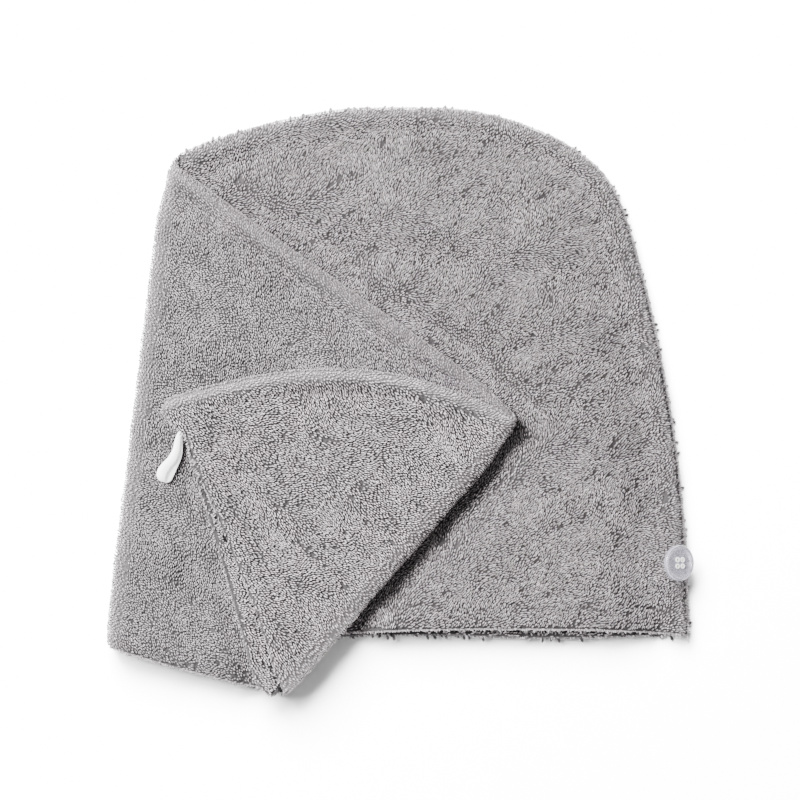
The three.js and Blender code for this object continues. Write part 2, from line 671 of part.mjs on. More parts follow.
function loopGeometry() {
  const ahead = turnBack(foldOne, turnBack(foldTwo, new THREE.Vector2(LOOP_ALONG, 0)))
    .sub(loopRoot)
    .rotateAround(new THREE.Vector2(), -LOOP_TURN * RADIANS)
    .normalize();
  const beside = new THREE.Vector2(-ahead.y, ahead.x);
  const floorOf = (q) => height("flap", "back", 1, q, TAIL_LOFT_TO, 2 * HEM_WIDTH) + LOOP_GAP;
  const lowest = topBase(loopRoot) + PLY + LOOP_GAP + TAPE_THICK / 2;
  const points = LOOP_ROUTE.map((row) => {
    const q = loopRoot.clone().addScaledVector(ahead, row.reach * LOOP_REACH);
    q.addScaledVector(beside, row.aside * LOOP_OPEN);
    const up = row.strand * (TAPE_THICK + FIT_GAP);
    const z = THREE.MathUtils.lerp(lowest, floorOf(q) + TAPE_THICK, row.rest) + up;
    return new THREE.Vector3(-q.x, q.y, z);
  });
  const route = new THREE.CatmullRomCurve3(points, false, "centripetal");
  const side = new THREE.Vector3(-beside.x, beside.y, 0);
  const corners = [
    [-0.5, -0.5],
    [0.5, -0.5],
    [0.5, 0.5],
    [-0.5, 0.5],
  ];
  const steps = LOOP_STEPS * (LOOP_ROUTE.length - 1);
  const positions = [];
  const triangles = [];
  for (let i = 0; i <= steps; i += 1) {
    const row = Math.min(Math.floor(i / LOOP_STEPS), LOOP_ROUTE.length - 2);
    const beyond = i / LOOP_STEPS - row;
    const share = THREE.MathUtils.lerp(LOOP_ROUTE[row].tilt, LOOP_ROUTE[row + 1].tilt, beyond);
    const tilt = share * LOOP_TILT * RADIANS;
    const along = route.getTangent(i / steps);
    const wide = side.clone().multiplyScalar(Math.cos(tilt));
    wide.z -= Math.sin(tilt);
    wide.addScaledVector(along, -wide.dot(along)).normalize();
    const thick = wide.clone().cross(along).normalize();
    const point = route.getPoint(i / steps);
    const reach = (Math.abs(wide.z) * TAPE_WIDTH + Math.abs(thick.z) * TAPE_THICK) / 2;
    const low = floorOf(new THREE.Vector2(-point.x, point.y));
    point.z = Math.max(point.z, low + reach);
    for (const [a, b] of corners) {
      const at = point.clone().addScaledVector(wide, a * TAPE_WIDTH);
      at.addScaledVector(thick, b * TAPE_THICK);
      positions.push(at.x, at.y, at.z);
    }
    for (let k = 0; i > 0 && k < 4; k += 1) {
      const a = 4 * (i - 1) + k;
      const b = 4 * (i - 1) + ((k + 1) % 4);
      triangles.push(a, a + 4, b + 4, a, b + 4, b);
    }
  }
  const last = 4 * steps;
  triangles.push(0, 1, 2, 0, 2, 3);
  triangles.push(last, last + 2, last + 1, last, last + 3, last + 2);
  const geometry = new THREE.BufferGeometry();
  geometry.setAttribute("position", new THREE.Float32BufferAttribute(positions, 3));
  geometry.setIndex(triangles);
  return geometry;
}

function named(name, geometry, finish) {
  geometry.computeVertexNormals();
  const mesh = new THREE.Mesh(geometry, new THREE.MeshStandardMaterial(finish));
  mesh.name = name;
  return mesh;
}

const TERRY = { color: 0xa9a5a7, roughness: 0.95, metalness: 0 };
const turban = new THREE.Group();
turban.add(named("back_panel", panelGeometry("back"), TERRY));
turban.add(named("front_panel", panelGeometry("front"), TERRY));

const buttonSeat = buttonFrame();
buttonSeat.add(named("button", buttonGeometry(), { color: 0xdcd9e0, roughness: 0.12, metalness: 0 }));
buttonSeat.add(named("button_thread", threadGeometry(), { color: 0xf2f1ee, roughness: 0.7, metalness: 0 }));
turban.add(buttonSeat);
turban.add(named("tail_loop", loopGeometry(), { color: 0xf4f2f1, roughness: 0.4, metalness: 0 }));

// The origin is the middle of the footprint, on the floor
const box = new THREE.Box3().setFromObject(turban);
const middle = box.getCenter(new THREE.Vector3());
turban.position.set(-middle.x, -middle.y, -box.min.z);

export default turban;
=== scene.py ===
import math

import bpy
import numpy as np
from mathutils import Matrix, Vector


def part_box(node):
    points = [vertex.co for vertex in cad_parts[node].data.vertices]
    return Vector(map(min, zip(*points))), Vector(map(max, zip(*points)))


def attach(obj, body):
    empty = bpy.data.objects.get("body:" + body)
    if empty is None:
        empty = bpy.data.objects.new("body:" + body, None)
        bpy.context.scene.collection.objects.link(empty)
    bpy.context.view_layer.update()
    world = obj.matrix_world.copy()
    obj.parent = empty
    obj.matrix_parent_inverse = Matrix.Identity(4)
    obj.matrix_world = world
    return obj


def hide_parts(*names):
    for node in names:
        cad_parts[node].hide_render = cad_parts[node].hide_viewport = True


# A towelling hair turban that lies flat with its tail folded over twice.
# The two plies are folded here from their flat pattern, finer than in the frame, and get their pile.
# Lengths of the cloth are in millimetres until a mesh is made.

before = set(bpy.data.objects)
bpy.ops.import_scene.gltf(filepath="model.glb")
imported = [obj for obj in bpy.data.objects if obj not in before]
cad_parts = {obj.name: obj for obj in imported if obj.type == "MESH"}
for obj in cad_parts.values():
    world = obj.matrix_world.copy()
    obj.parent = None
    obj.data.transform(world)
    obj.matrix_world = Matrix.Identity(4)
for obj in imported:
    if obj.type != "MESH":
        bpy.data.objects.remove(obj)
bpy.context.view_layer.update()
MM = 0.001

# Terry
BAG_LENGTH = 527
DOME_HEIGHT = 259
PLY = 2.8
PILE = 0.9  # height of the loops over the woven ground
LINING = 0.35  # height of the pressed loops inside the bag
SEAM_GAP = 0.6
NEST = 1
EDGE_ROUND = 1.2
EDGE_SHARE = 0.5  # of the way to the next line of the grid, at most
EDGE_DROP = 1.2
EDGE_RUN = 4.5

# The two folds of the tail
FOLD_ONE_ALONG = 276.8
FOLD_ONE_LEAN = 7
FOLD_TWO_ALONG = 368.4
FOLD_TWO_LEAN = -27.1
PINCH_SEAM = 0.5
PINCH_HEM = 0.75
PINCH_RUN = 22

# Hem
HEM_WIDTH = 12
HEM_EXTRA = 0.9
HEM_BLEND = 2
HEM_SWING = 10
STITCH_AT = 11.2  # from the hem to its line of stitches
STITCH_SPREAD = 0.8
STITCH_SINK = 0.9
STITCH_LEAST = 0.3  # share of the sink where the thread is slack
STITCH_WAVES = (31, 26)  # seed and size
STITCH_SLACK = -0.25
STITCH_TIGHT = 0.35
MOUTH_RISE = 2.6  # of the back ply's hem where it shows past the front ply
MOUTH_FROM = -0.6
MOUTH_RUN = 1.7
NOT_SHOWN = -9  # how far past the front ply's hem, where the back ply is covered

# Seam roll
ROLL_HEIGHT = 3.3
BODY_ROLL = 0.7  # share of the roll along the body's seam
ROLL_AT = 5
ROLL_SPREAD = 3
DIP_DEPTH = 1.5
DIP_AT = 14
DIP_SPREAD = 4
CLOSE_RUN = 14

# Loft of the plies
BODY_LOFT = 6.6
BODY_LOFT_FROM = 9
BODY_LOFT_TO = 42
BODY_LOFT_RUN = 13
FLAP_LOFT = 1.3
TOP_LOFT = 1
TAIL_LOFT_TO = 36
PRESS_CLEAR = 4
PRESS_RUN = 6
SLOT_OPEN = 2
SLOT_SPREAD = 16
SAG_FROM = 2
SAG_RUN = 24
SAG_DROP = 4.2
TOP_DEPTH = -99.0  # nothing lies on the top piece

# Unevenness of the outer face: height, seed and size of each set of waves
UNEVEN = [(0.45, 5, 26), (0.12, 9, 10)]
UNEVEN_FROM = 2  # from the seam
UNEVEN_TO = 14
UNEVEN_HEM = 12
WAVE_COUNT = 14
WAVE_SCALE = 5

# Button and tape loop
BUTTON_ALONG = 4.4
BUTTON_UP = 37.6
BUTTON_TILT = 37
BUTTON_DIAMETER = 17.5
BUTTON_THICK = 2.6
BUTTON_RIM = 1.7
BUTTON_DISH = 0.7
HOLE_DIAMETER = 1.9
HOLE_PITCH = 3.1
STRAND = 0.36
RING_RADIUS = 0.95
THREAD_PAD = 0.7
SHOULDER_SPREAD = 15
CORNER_LIFT = 3.2  # of the body beside the sewn end of the second fold
CORNER_SPREAD = 10
CORNER_FROM = 2
CORNER_TO = 8
CORNER_ALONG = 86.6
CORNER_UP = 105.5
TAPE_WIDTH = 4.6
TAPE_THICK = 0.8
LOOP_ALONG = 511
LOOP_UP = 1.2
LOOP_GAP = 0.8
PAINTED_TAPE_GLOW = 0.7  # painted light: the tape glows to look brighter
FIT_GAP = 0.35

# Places along the tape loop: its one edge and its other edge from the loop's root, share of the way
# down onto the flap, and height over the lower strand
LOOP_EDGES = np.array(
    [
        (3.5, -0.2, 1, -1.4, 0, 1.15), (6.3, -3.6, 4.3, -4.8, 0.1, 1.2),
        (7.7, -7.2, 4.9, -8.9, 0.4, 1.3), (8.5, -10.9, 5.6, -13.1, 0.7, 2.3),
        (10.8, -15, 7.2, -17, 0.9, 2.9), (14.1, -18.5, 10, -20.4, 1, 3.3),
        (16, -21.6, 11.6, -23.2, 1, 3.5), (16.3, -24.1, 12.1, -25.4, 1, 3.3),
        (15.2, -26.1, 11.8, -27.1, 1, 2.1), (13.5, -26.4, 9.7, -26.8, 1, 1),
        (12.3, -23.3, 8.1, -24.1, 1, 0.9), (10.6, -19.4, 6.2, -19.9, 1, 0.9),
        (8.9, -15.5, 4.6, -16, 0.95, 0.8), (7.6, -11.6, 3.8, -12.1, 0.75, 0.5),
        (6.7, -7.5, 3.8, -7.5, 0.4, 0), (5.8, -3.8, 3.6, -4.1, 0.1, 0),
        (3, -0.2, 0.6, -1.4, 0, 0),
    ]
)

# Shares of BAG_LENGTH and DOME_HEIGHT along the sewn outline, from the nape corner to the tail end
OUTLINE = np.array(
    [
        (0, 0), (0.0044, 0.208), (0.0176, 0.434), (0.04, 0.66), (0.0653, 0.83), (0.083, 0.885),
        (0.123, 0.943), (0.192, 0.991), (0.265, 1), (0.332, 0.994), (0.436, 0.942), (0.484, 0.901),
        (0.57, 0.829), (0.67, 0.751), (0.781, 0.664), (0.844, 0.602), (0.892, 0.523), (0.945, 0.389),
        (0.979, 0.233), (0.996, 0.065), (1, -0.022),
    ]
)
NAPE_TURN = 5
TAIL_TURN = 16

# Share of BAG_LENGTH, then the hem of the back and of the front ply as shares of HEM_SWING
HEM = np.array(
    [
        (0, 0.25, 0.25), (0.053, 0.18, 0.42), (0.127, 0.08, 0.52), (0.243, 0.24, 0.5),
        (0.323, 0.17, 0.3), (0.39, 0, 0), (0.49, -0.25, -0.25), (0.525, -0.32, -0.32),
        (0.546, -0.36, -0.36), (0.598, -0.48, -0.48), (0.658, -0.52, -0.52), (0.695, -0.52, -0.46),
        (0.722, -1.45, -0.5), (0.766, -1.3, -0.32), (0.803, -1.08, -0.26), (0.85, -0.82, -0.28),
        (0.892, -0.65, -0.3), (0.945, -0.42, -0.36), (0.962, -0.28, -0.28), (0.977, -0.62, -0.62),
        (0.99, -0.86, -0.86), (1, -0.57, -0.57),
    ]
)
HEM_COLUMN = {"back": 1, "front": 2}

# Creases: piece, ends as shares of FOLD_ONE_ALONG and DOME_HEIGHT, spread and rise
CREASES = [
    ("body", (0.86, 0.881), (0.8, 0.815), 4, -3),
    ("body", (0.81, 0.83), (0.6, 0.735), 7, -3),
    ("body", (0.6, 0.735), (0.14, 0.65), 7, -3.6),
    ("body", (0.44, 0.565), (0.14, 0.51), 6, -3.2),
    ("body", (0.35, 0.455), (0.17, 0.41), 6, -2.4),
    ("body", (0.5, 0.79), (0.3, 0.745), 7, 1.8),
    ("body", (0.33, 0.6), (0.18, 0.575), 6, 1.8),
    ("flap", (0.88, 0.8), (0.76, 0.68), 6, -1.1),
    ("flap", (0.93, 0.3), (0.86, 0.1), 6, -0.9),
    ("top", (0.58, 0.4), (0.42, 0.34), 5, -0.9),
    ("top", (0.86, 0.4), (0.74, 0.28), 6, -0.8),
]

FOLD_RADIUS = PLY + NEST
HALF_TURN = math.pi * FOLD_RADIUS
FOLD_REACH = 1.5 * FOLD_RADIUS + PLY / 2
# The rubbed band has shorter loops and is painted lighter: a painted highlight along the sewn edge
# and over the folds
RUBBED_AT = 8.5  # middle of the rubbed band, past a fold's start
RUBBED_HALF = 2
RUBBED_FADE = 1.8
RUBBED_RIM = 2.4
RUBBED_FOLD = {"back": 0.45, "front": 1}  # share over the fold that shows in each ply
RUBBED_BODY = 0.2  # share along the body's seam
SEAM_SAMPLES = 480
SEAM_STEPS = 60  # of the outline, per row of its table
NET_PITCH = 2.5
NET_SPAN = 2
NET_MARGIN = 60
NET_BATCH = 3000
PLACE_BATCH = 20000

# Grid of a ply: number of lines, and how much closer they lie at both ends
GRID_ROWS = (88, 0.75)
GRID_COLUMNS = {"body": (104, 0.6), "flap": (40, 0.3), "top": (62, 0.5)}
FOLD_LINES = 13


def smooth(start, end, value):
    share = np.clip((value - start) / (end - start), 0, 1)
    return share * share * (3 - 2 * share)


def bump(distance, spread):
    return np.exp(-0.5 * (distance / spread) ** 2)


def through(points, per):
    """A centripetal curve through the points, with per samples from each point to the next."""
    ends = [2 * points[0] - points[1], *points, 2 * points[-1] - points[-2]]
    out = []
    for p0, p1, p2, p3 in zip(ends, ends[1:], ends[2:], ends[3:]):
        d0, d1, d2 = (math.sqrt(np.linalg.norm(b - a)) for a, b in ((p0, p1), (p1, p2), (p2, p3)))
        m1 = ((p1 - p0) / d0 - (p2 - p0) / (d0 + d1) + (p2 - p1) / d1) * d1
        m2 = ((p2 - p1) / d1 - (p3 - p1) / (d1 + d2) + (p3 - p2) / d2) * d1
        t = np.linspace(0, 1, per, endpoint=False)[:, None]
        out.append(
            (2 * t**3 - 3 * t**2 + 1) * p1
            + (t**3 - 2 * t**2 + t) * m1
            + (-2 * t**3 + 3 * t**2) * p2
            + (t**3 - t**2) * m2
        )
    return np.vstack([*out, points[-1:]])


class Seam:
    """The sewn outline, read by the share of its length."""

    def __init__(self):
        fine = through(OUTLINE * (BAG_LENGTH, DOME_HEIGHT), SEAM_STEPS)
        steps = np.linalg.norm(np.diff(fine, axis=0), axis=1)
        length = np.concatenate([[0], np.cumsum(steps)])
        self.shares = length / length[-1]
        self.fine = fine
        self.turns = [self.shares[row * SEAM_STEPS] for row in (NAPE_TURN, TAIL_TURN)]
        self.line = self.at(np.linspace(0, 1, SEAM_SAMPLES + 1))

    def at(self, share):
        share = np.clip(share, 0, 1)
        return np.stack([np.interp(share, self.shares, self.fine[:, k]) for k in (0, 1)], -1)

    def nearest(self, p, rows):
        """Signed distance from the nearest of some stretches of the seam, and that stretch."""
        a, run = self.line[:-1][rows], np.diff(self.line, axis=0)[rows]
        off = p[:, None] - a
        share = np.clip((off * run).sum(-1) / (run * run).sum(-1), 0, 1)
        gap = np.linalg.norm(off - share[..., None] * run, axis=-1)
        best = gap.argmin(1)
        at = np.arange(len(p))
        side = run[at, best, 0] * off[at, best, 1] - run[at, best, 1] * off[at, best, 0]
        return np.where(side > 0, -1, 1) * gap[at, best], rows[at, best]

    def survey(self):
        """The nearest stretch of the seam at each point of a coarse net."""
        self.corner = np.full(2, -float(NET_MARGIN))
        sides = (BAG_LENGTH + 2 * NET_MARGIN, DOME_HEIGHT + 2 * NET_MARGIN)
        self.counts = np.array([int(side // NET_PITCH + 1) for side in sides])
        net = np.stack(np.meshgrid(*(np.arange(c) for c in self.counts), indexing="ij"), -1)
        net = self.corner + NET_PITCH * net.reshape(-1, 2)
        every = np.arange(SEAM_SAMPLES)[None]
        found = [
            self.nearest(batch, np.repeat(every, len(batch), 0))[1]
            for batch in (net[i : i + NET_BATCH] for i in range(0, len(net), NET_BATCH))
        ]
        self.net = np.concatenate(found).reshape(self.counts)

    def inside(self, p):
        """Distance of points from the seam, positive inside the bag."""
        out = np.empty(len(p))
        for i in range(0, len(p), PLACE_BATCH):
            q = p[i : i + PLACE_BATCH]
            cell = np.clip(((q - self.corner) / NET_PITCH).astype(int), 0, self.counts - 2)
            picks = [self.net[cell[:, 0] + a, cell[:, 1] + b] for a in (0, 1) for b in (0, 1)]
            rows = np.stack(picks, -1)[:, :, None] + np.arange(-NET_SPAN, NET_SPAN + 1)
            rows = np.clip(rows.reshape(len(q), -1), 0, SEAM_SAMPLES - 1)
            out[i : i + PLACE_BATCH] = self.nearest(q, rows)[0]
        return out


seam = Seam()
seam.survey()


class Crease:
    """A fold line across the pattern, leaning from the line across the hem."""

    def __init__(self, along, lean):
        self.point = np.array([along, 0.0])
        self.normal = np.array([math.cos(math.radians(lean)), math.sin(math.radians(lean))])

    def past(self, p):
        return (p - self.point) @ self.normal

    def turn_back(self, p):
        return p + self.normal * (HALF_TURN - 2 * self.past(p))[..., None]


fold_one = Crease(FOLD_ONE_ALONG, FOLD_ONE_LEAN)
fold_two = Crease(FOLD_TWO_ALONG, FOLD_TWO_LEAN)


def hem_up(panel, along):
    """Height of a ply's hem, on a smooth curve through the table's rows."""
    share = np.clip(along / BAG_LENGTH, 0, 1)
    x, y = HEM[:, 0], HEM[:, HEM_COLUMN[panel]]
    last = len(x) - 1
    i = np.clip(np.searchsorted(x, share, side="left") - 1, 0, last - 1)

    def slope(k):
        a, b = np.clip(k - 1, 0, last), np.clip(k + 1, 0, last)
        return (y[b] - y[a]) / (x[b] - x[a])

    run, rise = x[i + 1] - x[i], y[i + 1] - y[i]
    t = (share - x[i]) / run
    bend = (slope(i) * run - rise) * (1 - t) - (slope(i + 1) * run - rise) * t
    return HEM_SWING * (y[i] + rise * t + t * (1 - t) * bend)


def under_flap(q):
    """How deep places of the floor plan lie under the folded tail: negative outside it."""
    p = fold_one.turn_back(q)
    return np.minimum(seam.inside(p), FOLD_REACH - fold_two.past(p))


def under_top(q):
    """The same for the top piece."""
    once = fold_one.turn_back(q)
    p = fold_two.turn_back(once)
    depth = np.minimum(seam.inside(p), FOLD_REACH - fold_two.past(once))
    return np.minimum(depth, p[:, 1] - hem_up("back", p[:, 0]))


def freed(depth):
    """0 under the folded tail and close to it, 1 where the cloth is free to rise."""
    return smooth(PRESS_CLEAR, PRESS_CLEAR + PRESS_RUN, -depth)


def creased(piece, q):
    rise = np.zeros(len(q))
    for where, start, end, spread, height in CREASES:
        if where != piece:
            continue
        a = np.array(start) * (FOLD_ONE_ALONG, DOME_HEIGHT)
        run = np.array(end) * (FOLD_ONE_ALONG, DOME_HEIGHT) - a
        share = np.clip((q - a) @ run / (run @ run), 0, 1)
        rise += height * bump(np.linalg.norm(q - a - share[:, None] * run, axis=1), spread)
    return rise


def rolled(rim):
    roll = ROLL_HEIGHT * bump(rim - ROLL_AT, ROLL_SPREAD) * smooth(0, ROLL_SPREAD, rim)
    return roll - DIP_DEPTH * bump(rim - DIP_AT, DIP_SPREAD)


def one_place(along, up):
    return np.array([[along, up]], float)


slot_place = fold_one.turn_back(one_place(FOLD_TWO_ALONG, 0))
loop_root = fold_one.turn_back(fold_two.turn_back(one_place(LOOP_ALONG, LOOP_UP)))
button_place = one_place(BUTTON_ALONG, BUTTON_UP)
corner_place = one_place(CORNER_ALONG, CORNER_UP)
LOOP_ROOM = 2 * TAPE_THICK + 2 * LOOP_GAP + 2 * FIT_GAP


def far_from(q, place):
    return np.linalg.norm(q - place, axis=1)


def waves(q, seed, size):
    """Gentle unevenness of a lying cloth, between about -1 and 1."""
    dice = np.random.default_rng(seed)
    total = np.zeros(len(q))
    for _ in range(WAVE_COUNT):
        turn, phase = dice.uniform(0, math.tau, 2)
        pitch = size * dice.uniform(0.7, 1.6)
        total += np.sin(q @ (math.cos(turn), math.sin(turn)) * math.tau / pitch + phase)
    return total / WAVE_SCALE


def air_gap(piece, q, rim, depth):
    """Air between the two plies."""
    inside = np.maximum(rim, 0)
    gap = SEAM_GAP + (NEST - SEAM_GAP) * smooth(0, CLOSE_RUN, inside)
    if piece == "body":
        shoulder = bump(far_from(q, button_place), SHOULDER_SPREAD)
        raised = shoulder * smooth(0, BODY_LOFT_FROM, inside)
        lofted = np.maximum(smooth(BODY_LOFT_FROM, BODY_LOFT_TO, inside), raised)
        gap += BODY_LOFT * lofted * smooth(PRESS_CLEAR, PRESS_CLEAR + BODY_LOFT_RUN, -depth)
        roll = BODY_ROLL * rolled(rim) * (1 - shoulder)
        gap += (roll + creased(piece, q) * lofted) * freed(depth)
        lift = CORNER_LIFT * bump(far_from(q, corner_place), CORNER_SPREAD)
        gap += lift * smooth(CORNER_FROM, CORNER_TO, -depth)
    elif piece == "flap":
        gap += FLAP_LOFT * smooth(ROLL_AT, TAIL_LOFT_TO, inside) * freed(depth)
        gap += (rolled(rim) + creased(piece, q)) * freed(depth)
    else:
        gap += TOP_LOFT * smooth(ROLL_AT, TAIL_LOFT_TO, inside) + rolled(rim) + creased(piece, q)
        gap += SLOT_OPEN * bump(far_from(q, slot_place), SLOT_SPREAD)
        room = bump(np.maximum(far_from(q, loop_root) - 2 * TAPE_WIDTH, 0), TAPE_WIDTH)
        gap = np.maximum(gap, LOOP_ROOM * room)
    return np.maximum(gap, SEAM_GAP)


def stitch_pull(q):
    """Where the line of stitches pulls the hem in: 0 to 1 along it."""
    return smooth(STITCH_SLACK, STITCH_TIGHT, waves(q, *STITCH_WAVES))


def stitched(q, hem):
    pull = STITCH_LEAST + (1 - STITCH_LEAST) * stitch_pull(q)
    return STITCH_SINK * bump(hem - STITCH_AT, STITCH_SPREAD) * pull


def height(piece, panel, faces_up, inset, q, rim, hem, shown=NOT_SHOWN):
    """Height of one face of a ply; inset is how far the woven ground lies inside the pile."""
    lower = (piece == "flap") == (panel == "front")
    if piece == "top":
        depth = np.full(len(q), TOP_DEPTH)
    else:
        depth = under_flap(q) if piece == "body" else under_top(q)
    base = np.zeros(len(q))
    if piece != "body":
        level = 2 if piece == "flap" else 4
        base = level * (PLY + NEST) - SAG_DROP * smooth(SAG_FROM, SAG_FROM + SAG_RUN, -q[:, 1])
    base = base + MOUTH_RISE * smooth(MOUTH_FROM, MOUTH_RUN, shown) * freed(depth)
    if not lower:
        base = base + PLY + air_gap(piece, q, rim, depth)
    if not faces_up:
        return base + inset
    if lower:
        return base + PLY - inset
    uneven = sum(rise * waves(q, seed, size) for rise, seed, size in UNEVEN)
    uneven = uneven * smooth(UNEVEN_FROM, UNEVEN_TO, rim) * smooth(0, UNEVEN_HEM, hem) * freed(depth)
    behind = smooth(HEM_WIDTH - HEM_BLEND, HEM_WIDTH + HEM_BLEND, hem)
    band = HEM_EXTRA * freed(depth) * (1 - behind)
    drop = EDGE_DROP * (1 - smooth(0, EDGE_RUN, np.minimum(rim, hem)))
    return base + PLY + band - drop - inset + uneven - stitched(q, hem) * freed(depth)


def place(p, panel, outer, inset):
    """Points of the flat pattern, folded to their places."""
    rim = seam.inside(p)
    hem = p[:, 1] - hem_up(panel, p[:, 0])
    out = np.empty((len(p), 3))
    past_one, past_two = fold_one.past(p), fold_two.past(p)
    front = hem_up("front", p[:, 0])
    shown = np.full(len(p), float(NOT_SHOWN)) if panel == "front" else front - p[:, 1]
    shown[front - hem_up("back", p[:, 0]) < MOUTH_RUN] = NOT_SHOWN

    def at(piece, q, rows):
        faces_up = outer if (piece == "flap") == (panel == "back") else not outer
        past_mouth = shown[rows] if piece != "flap" else NOT_SHOWN
        return height(piece, panel, faces_up, inset, q, rim[rows], hem[rows], past_mouth)

    def lie(piece, q, rows):
        out[rows] = np.column_stack([-q[:, 0], q[:, 1], at(piece, q, rows)])

    def bend(q, way, turn, start, end, rows):
        low, high = at(start, q, rows), at(end, q, rows)
        radius = (high - low) / 2
        sewn = PINCH_SEAM + (1 - PINCH_SEAM) * smooth(0, PINCH_RUN, rim[rows])
        open_end = PINCH_HEM + (1 - PINCH_HEM) * smooth(0, PINCH_RUN, hem[rows])
        reach = radius * np.sin(turn) * sewn * open_end
        x, y = q[:, 0] + way[0] * reach, q[:, 1] + way[1] * reach
        out[rows] = np.column_stack([-x, y, low + radius * (1 - np.cos(turn))])

    body = np.flatnonzero(past_one <= 0)
    turn_one = np.flatnonzero((past_one > 0) & (past_one < HALF_TURN))
    flap = np.flatnonzero((past_one >= HALF_TURN) & (past_two <= 0))
    turn_two = np.flatnonzero((past_two > 0) & (past_two < HALF_TURN))
    top = np.flatnonzero(past_two >= HALF_TURN)
    one, two = fold_one.normal, fold_two.normal
    lie("body", p[body], body)
    foot = p[turn_one] - past_one[turn_one, None] * one
    bend(foot, one, past_one[turn_one] / FOLD_RADIUS, "body", "flap", turn_one)
    lie("flap", fold_one.turn_back(p[flap]), flap)
    foot = fold_one.turn_back(p[turn_two] - past_two[turn_two, None] * two)
    way = two - one * 2 * (two @ one)
    bend(foot, way, past_two[turn_two] / FOLD_RADIUS, "flap", "top", turn_two)
    lie("top", fold_one.turn_back(fold_two.turn_back(p[top])), top)
    return out


def lines(count, crowd):
    """Shares from 0 to 1 that lie closer at both ends: crowd 0 is even."""
    even = np.linspace(0, 1, count)
    return even - crowd * np.sin(math.tau * even) / math.tau


def pattern_grid(panel):
    """The flat pattern as columns of points, from the nape to the tail end."""
    rows = lines(*GRID_ROWS)

    def on_hem(along):
        return np.stack([along, hem_up(panel, along)], -1)

    def crossing(fold, distance):
        along = fold.point[0] + distance / fold.normal[0]
        for _ in range(4):
            up = float(hem_up(panel, np.array([along]))[0])
            along = fold.point[0] + (distance - up * fold.normal[1]) / fold.normal[0]
        low, high = seam.turns[0], 1.0
        for _ in range(40):
            middle = (low + high) / 2
            if fold.past(seam.at(middle)) < distance:
                low = middle
            else:
                high = middle
        return along, low

    def straight(line):
        a, b = on_hem(np.array([line[0]]))[0], seam.at(line[1])
        return a + (b - a) * rows[:, None]

    def end_line(corner, start, end):
        edge = seam.at(start + (end - start) * rows)
        return edge + (corner - seam.at(start)) * (1 - rows)[:, None]

    def patch(start, end, left, right, shares):
        s, v = shares[:, None, None], rows[None, :, None]
        hem = on_hem(start[0] + (end[0] - start[0]) * shares)[:, None]
        rim = seam.at(start[1] + (end[1] - start[1]) * shares)[:, None]
        ruled = hem * (1 - v) + rim * v + left[None] * (1 - s) + right[None] * s
        low = hem[:1] * (1 - s) + hem[-1:] * s
        high = rim[:1] * (1 - s) + rim[-1:] * s
        return ruled - low * (1 - v) - high * v

    nape, tail = (0.0, seam.turns[0]), (float(BAG_LENGTH), seam.turns[1])
    one = [crossing(fold_one, 0), crossing(fold_one, HALF_TURN)]
    two = [crossing(fold_two, 0), crossing(fold_two, HALF_TURN)]
    nape_side = end_line(on_hem(np.array([0.0]))[0], 0.0, seam.turns[0])
    tail_side = end_line(on_hem(np.array([float(BAG_LENGTH)]))[0], 1.0, seam.turns[1])

    def fold_columns(fold):
        turns = np.linspace(0, HALF_TURN, FOLD_LINES)[1:-1]
        return np.stack([straight(crossing(fold, d)) for d in turns])

    body = patch(nape, one[0], nape_side, straight(one[0]), lines(*GRID_COLUMNS["body"]))
    columns = lines(*GRID_COLUMNS["flap"])
    flap = patch(one[1], two[0], straight(one[1]), straight(two[0]), columns)
    top = patch(two[1], tail, straight(two[1]), tail_side, lines(*GRID_COLUMNS["top"]))
    return np.concatenate([body, fold_columns(fold_one), flap, fold_columns(fold_two), top])


def shift_of_frame():
    """From the pattern's frame to the part's, found from the button's place."""
    low, high = (np.array(c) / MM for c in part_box("button"))
    return (low[:2] + high[:2]) / 2 - (-BUTTON_ALONG, BUTTON_UP)


shift = shift_of_frame()


def to_part(points):
    moved = points.copy()
    moved[:, :2] += shift
    return moved * MM


def new_piece(name, positions, faces, smoothly=True):
    mesh = bpy.data.meshes.new(name)
    mesh.from_pydata([tuple(v) for v in positions], [], [tuple(f) for f in faces])
    mesh.validate()
    piece = bpy.data.objects.new(name, mesh)
    bpy.context.scene.collection.objects.link(piece)
    if smoothly:
        mesh.polygons.foreach_set("use_smooth", [True] * len(mesh.polygons))
    return piece


def add_values(piece, name, values):
    """Keeps a number or a direction for each vertex."""
    values = np.asarray(values, np.float32)
    kind, slot = ("FLOAT", "value") if values.ndim == 1 else ("FLOAT_VECTOR", "vector")
    piece.data.attributes.new(name, kind, "POINT").data.foreach_set(slot, values.ravel())


def rubbed_and_highlit_at(panel, p):
    """Where the pile is rubbed smooth, 0 to 1: along the tail's sewn edge and over a fold. The share
    shortens the loops there and also paints the pile and ground lighter, a painted highlight.
    """
    fold = fold_one if panel == "back" else fold_two
    off_band = np.maximum(abs(fold.past(p) - RUBBED_AT) - RUBBED_HALF, 0)
    turned = RUBBED_FOLD[panel] * bump(off_band, RUBBED_FADE)
    on_tail = RUBBED_BODY + (1 - RUBBED_BODY) * smooth(0, HALF_TURN, fold_one.past(p))
    sewn = on_tail * bump(np.maximum(seam.inside(p) - RUBBED_RIM, 0), RUBBED_FADE)
    return np.maximum(sewn, turned)


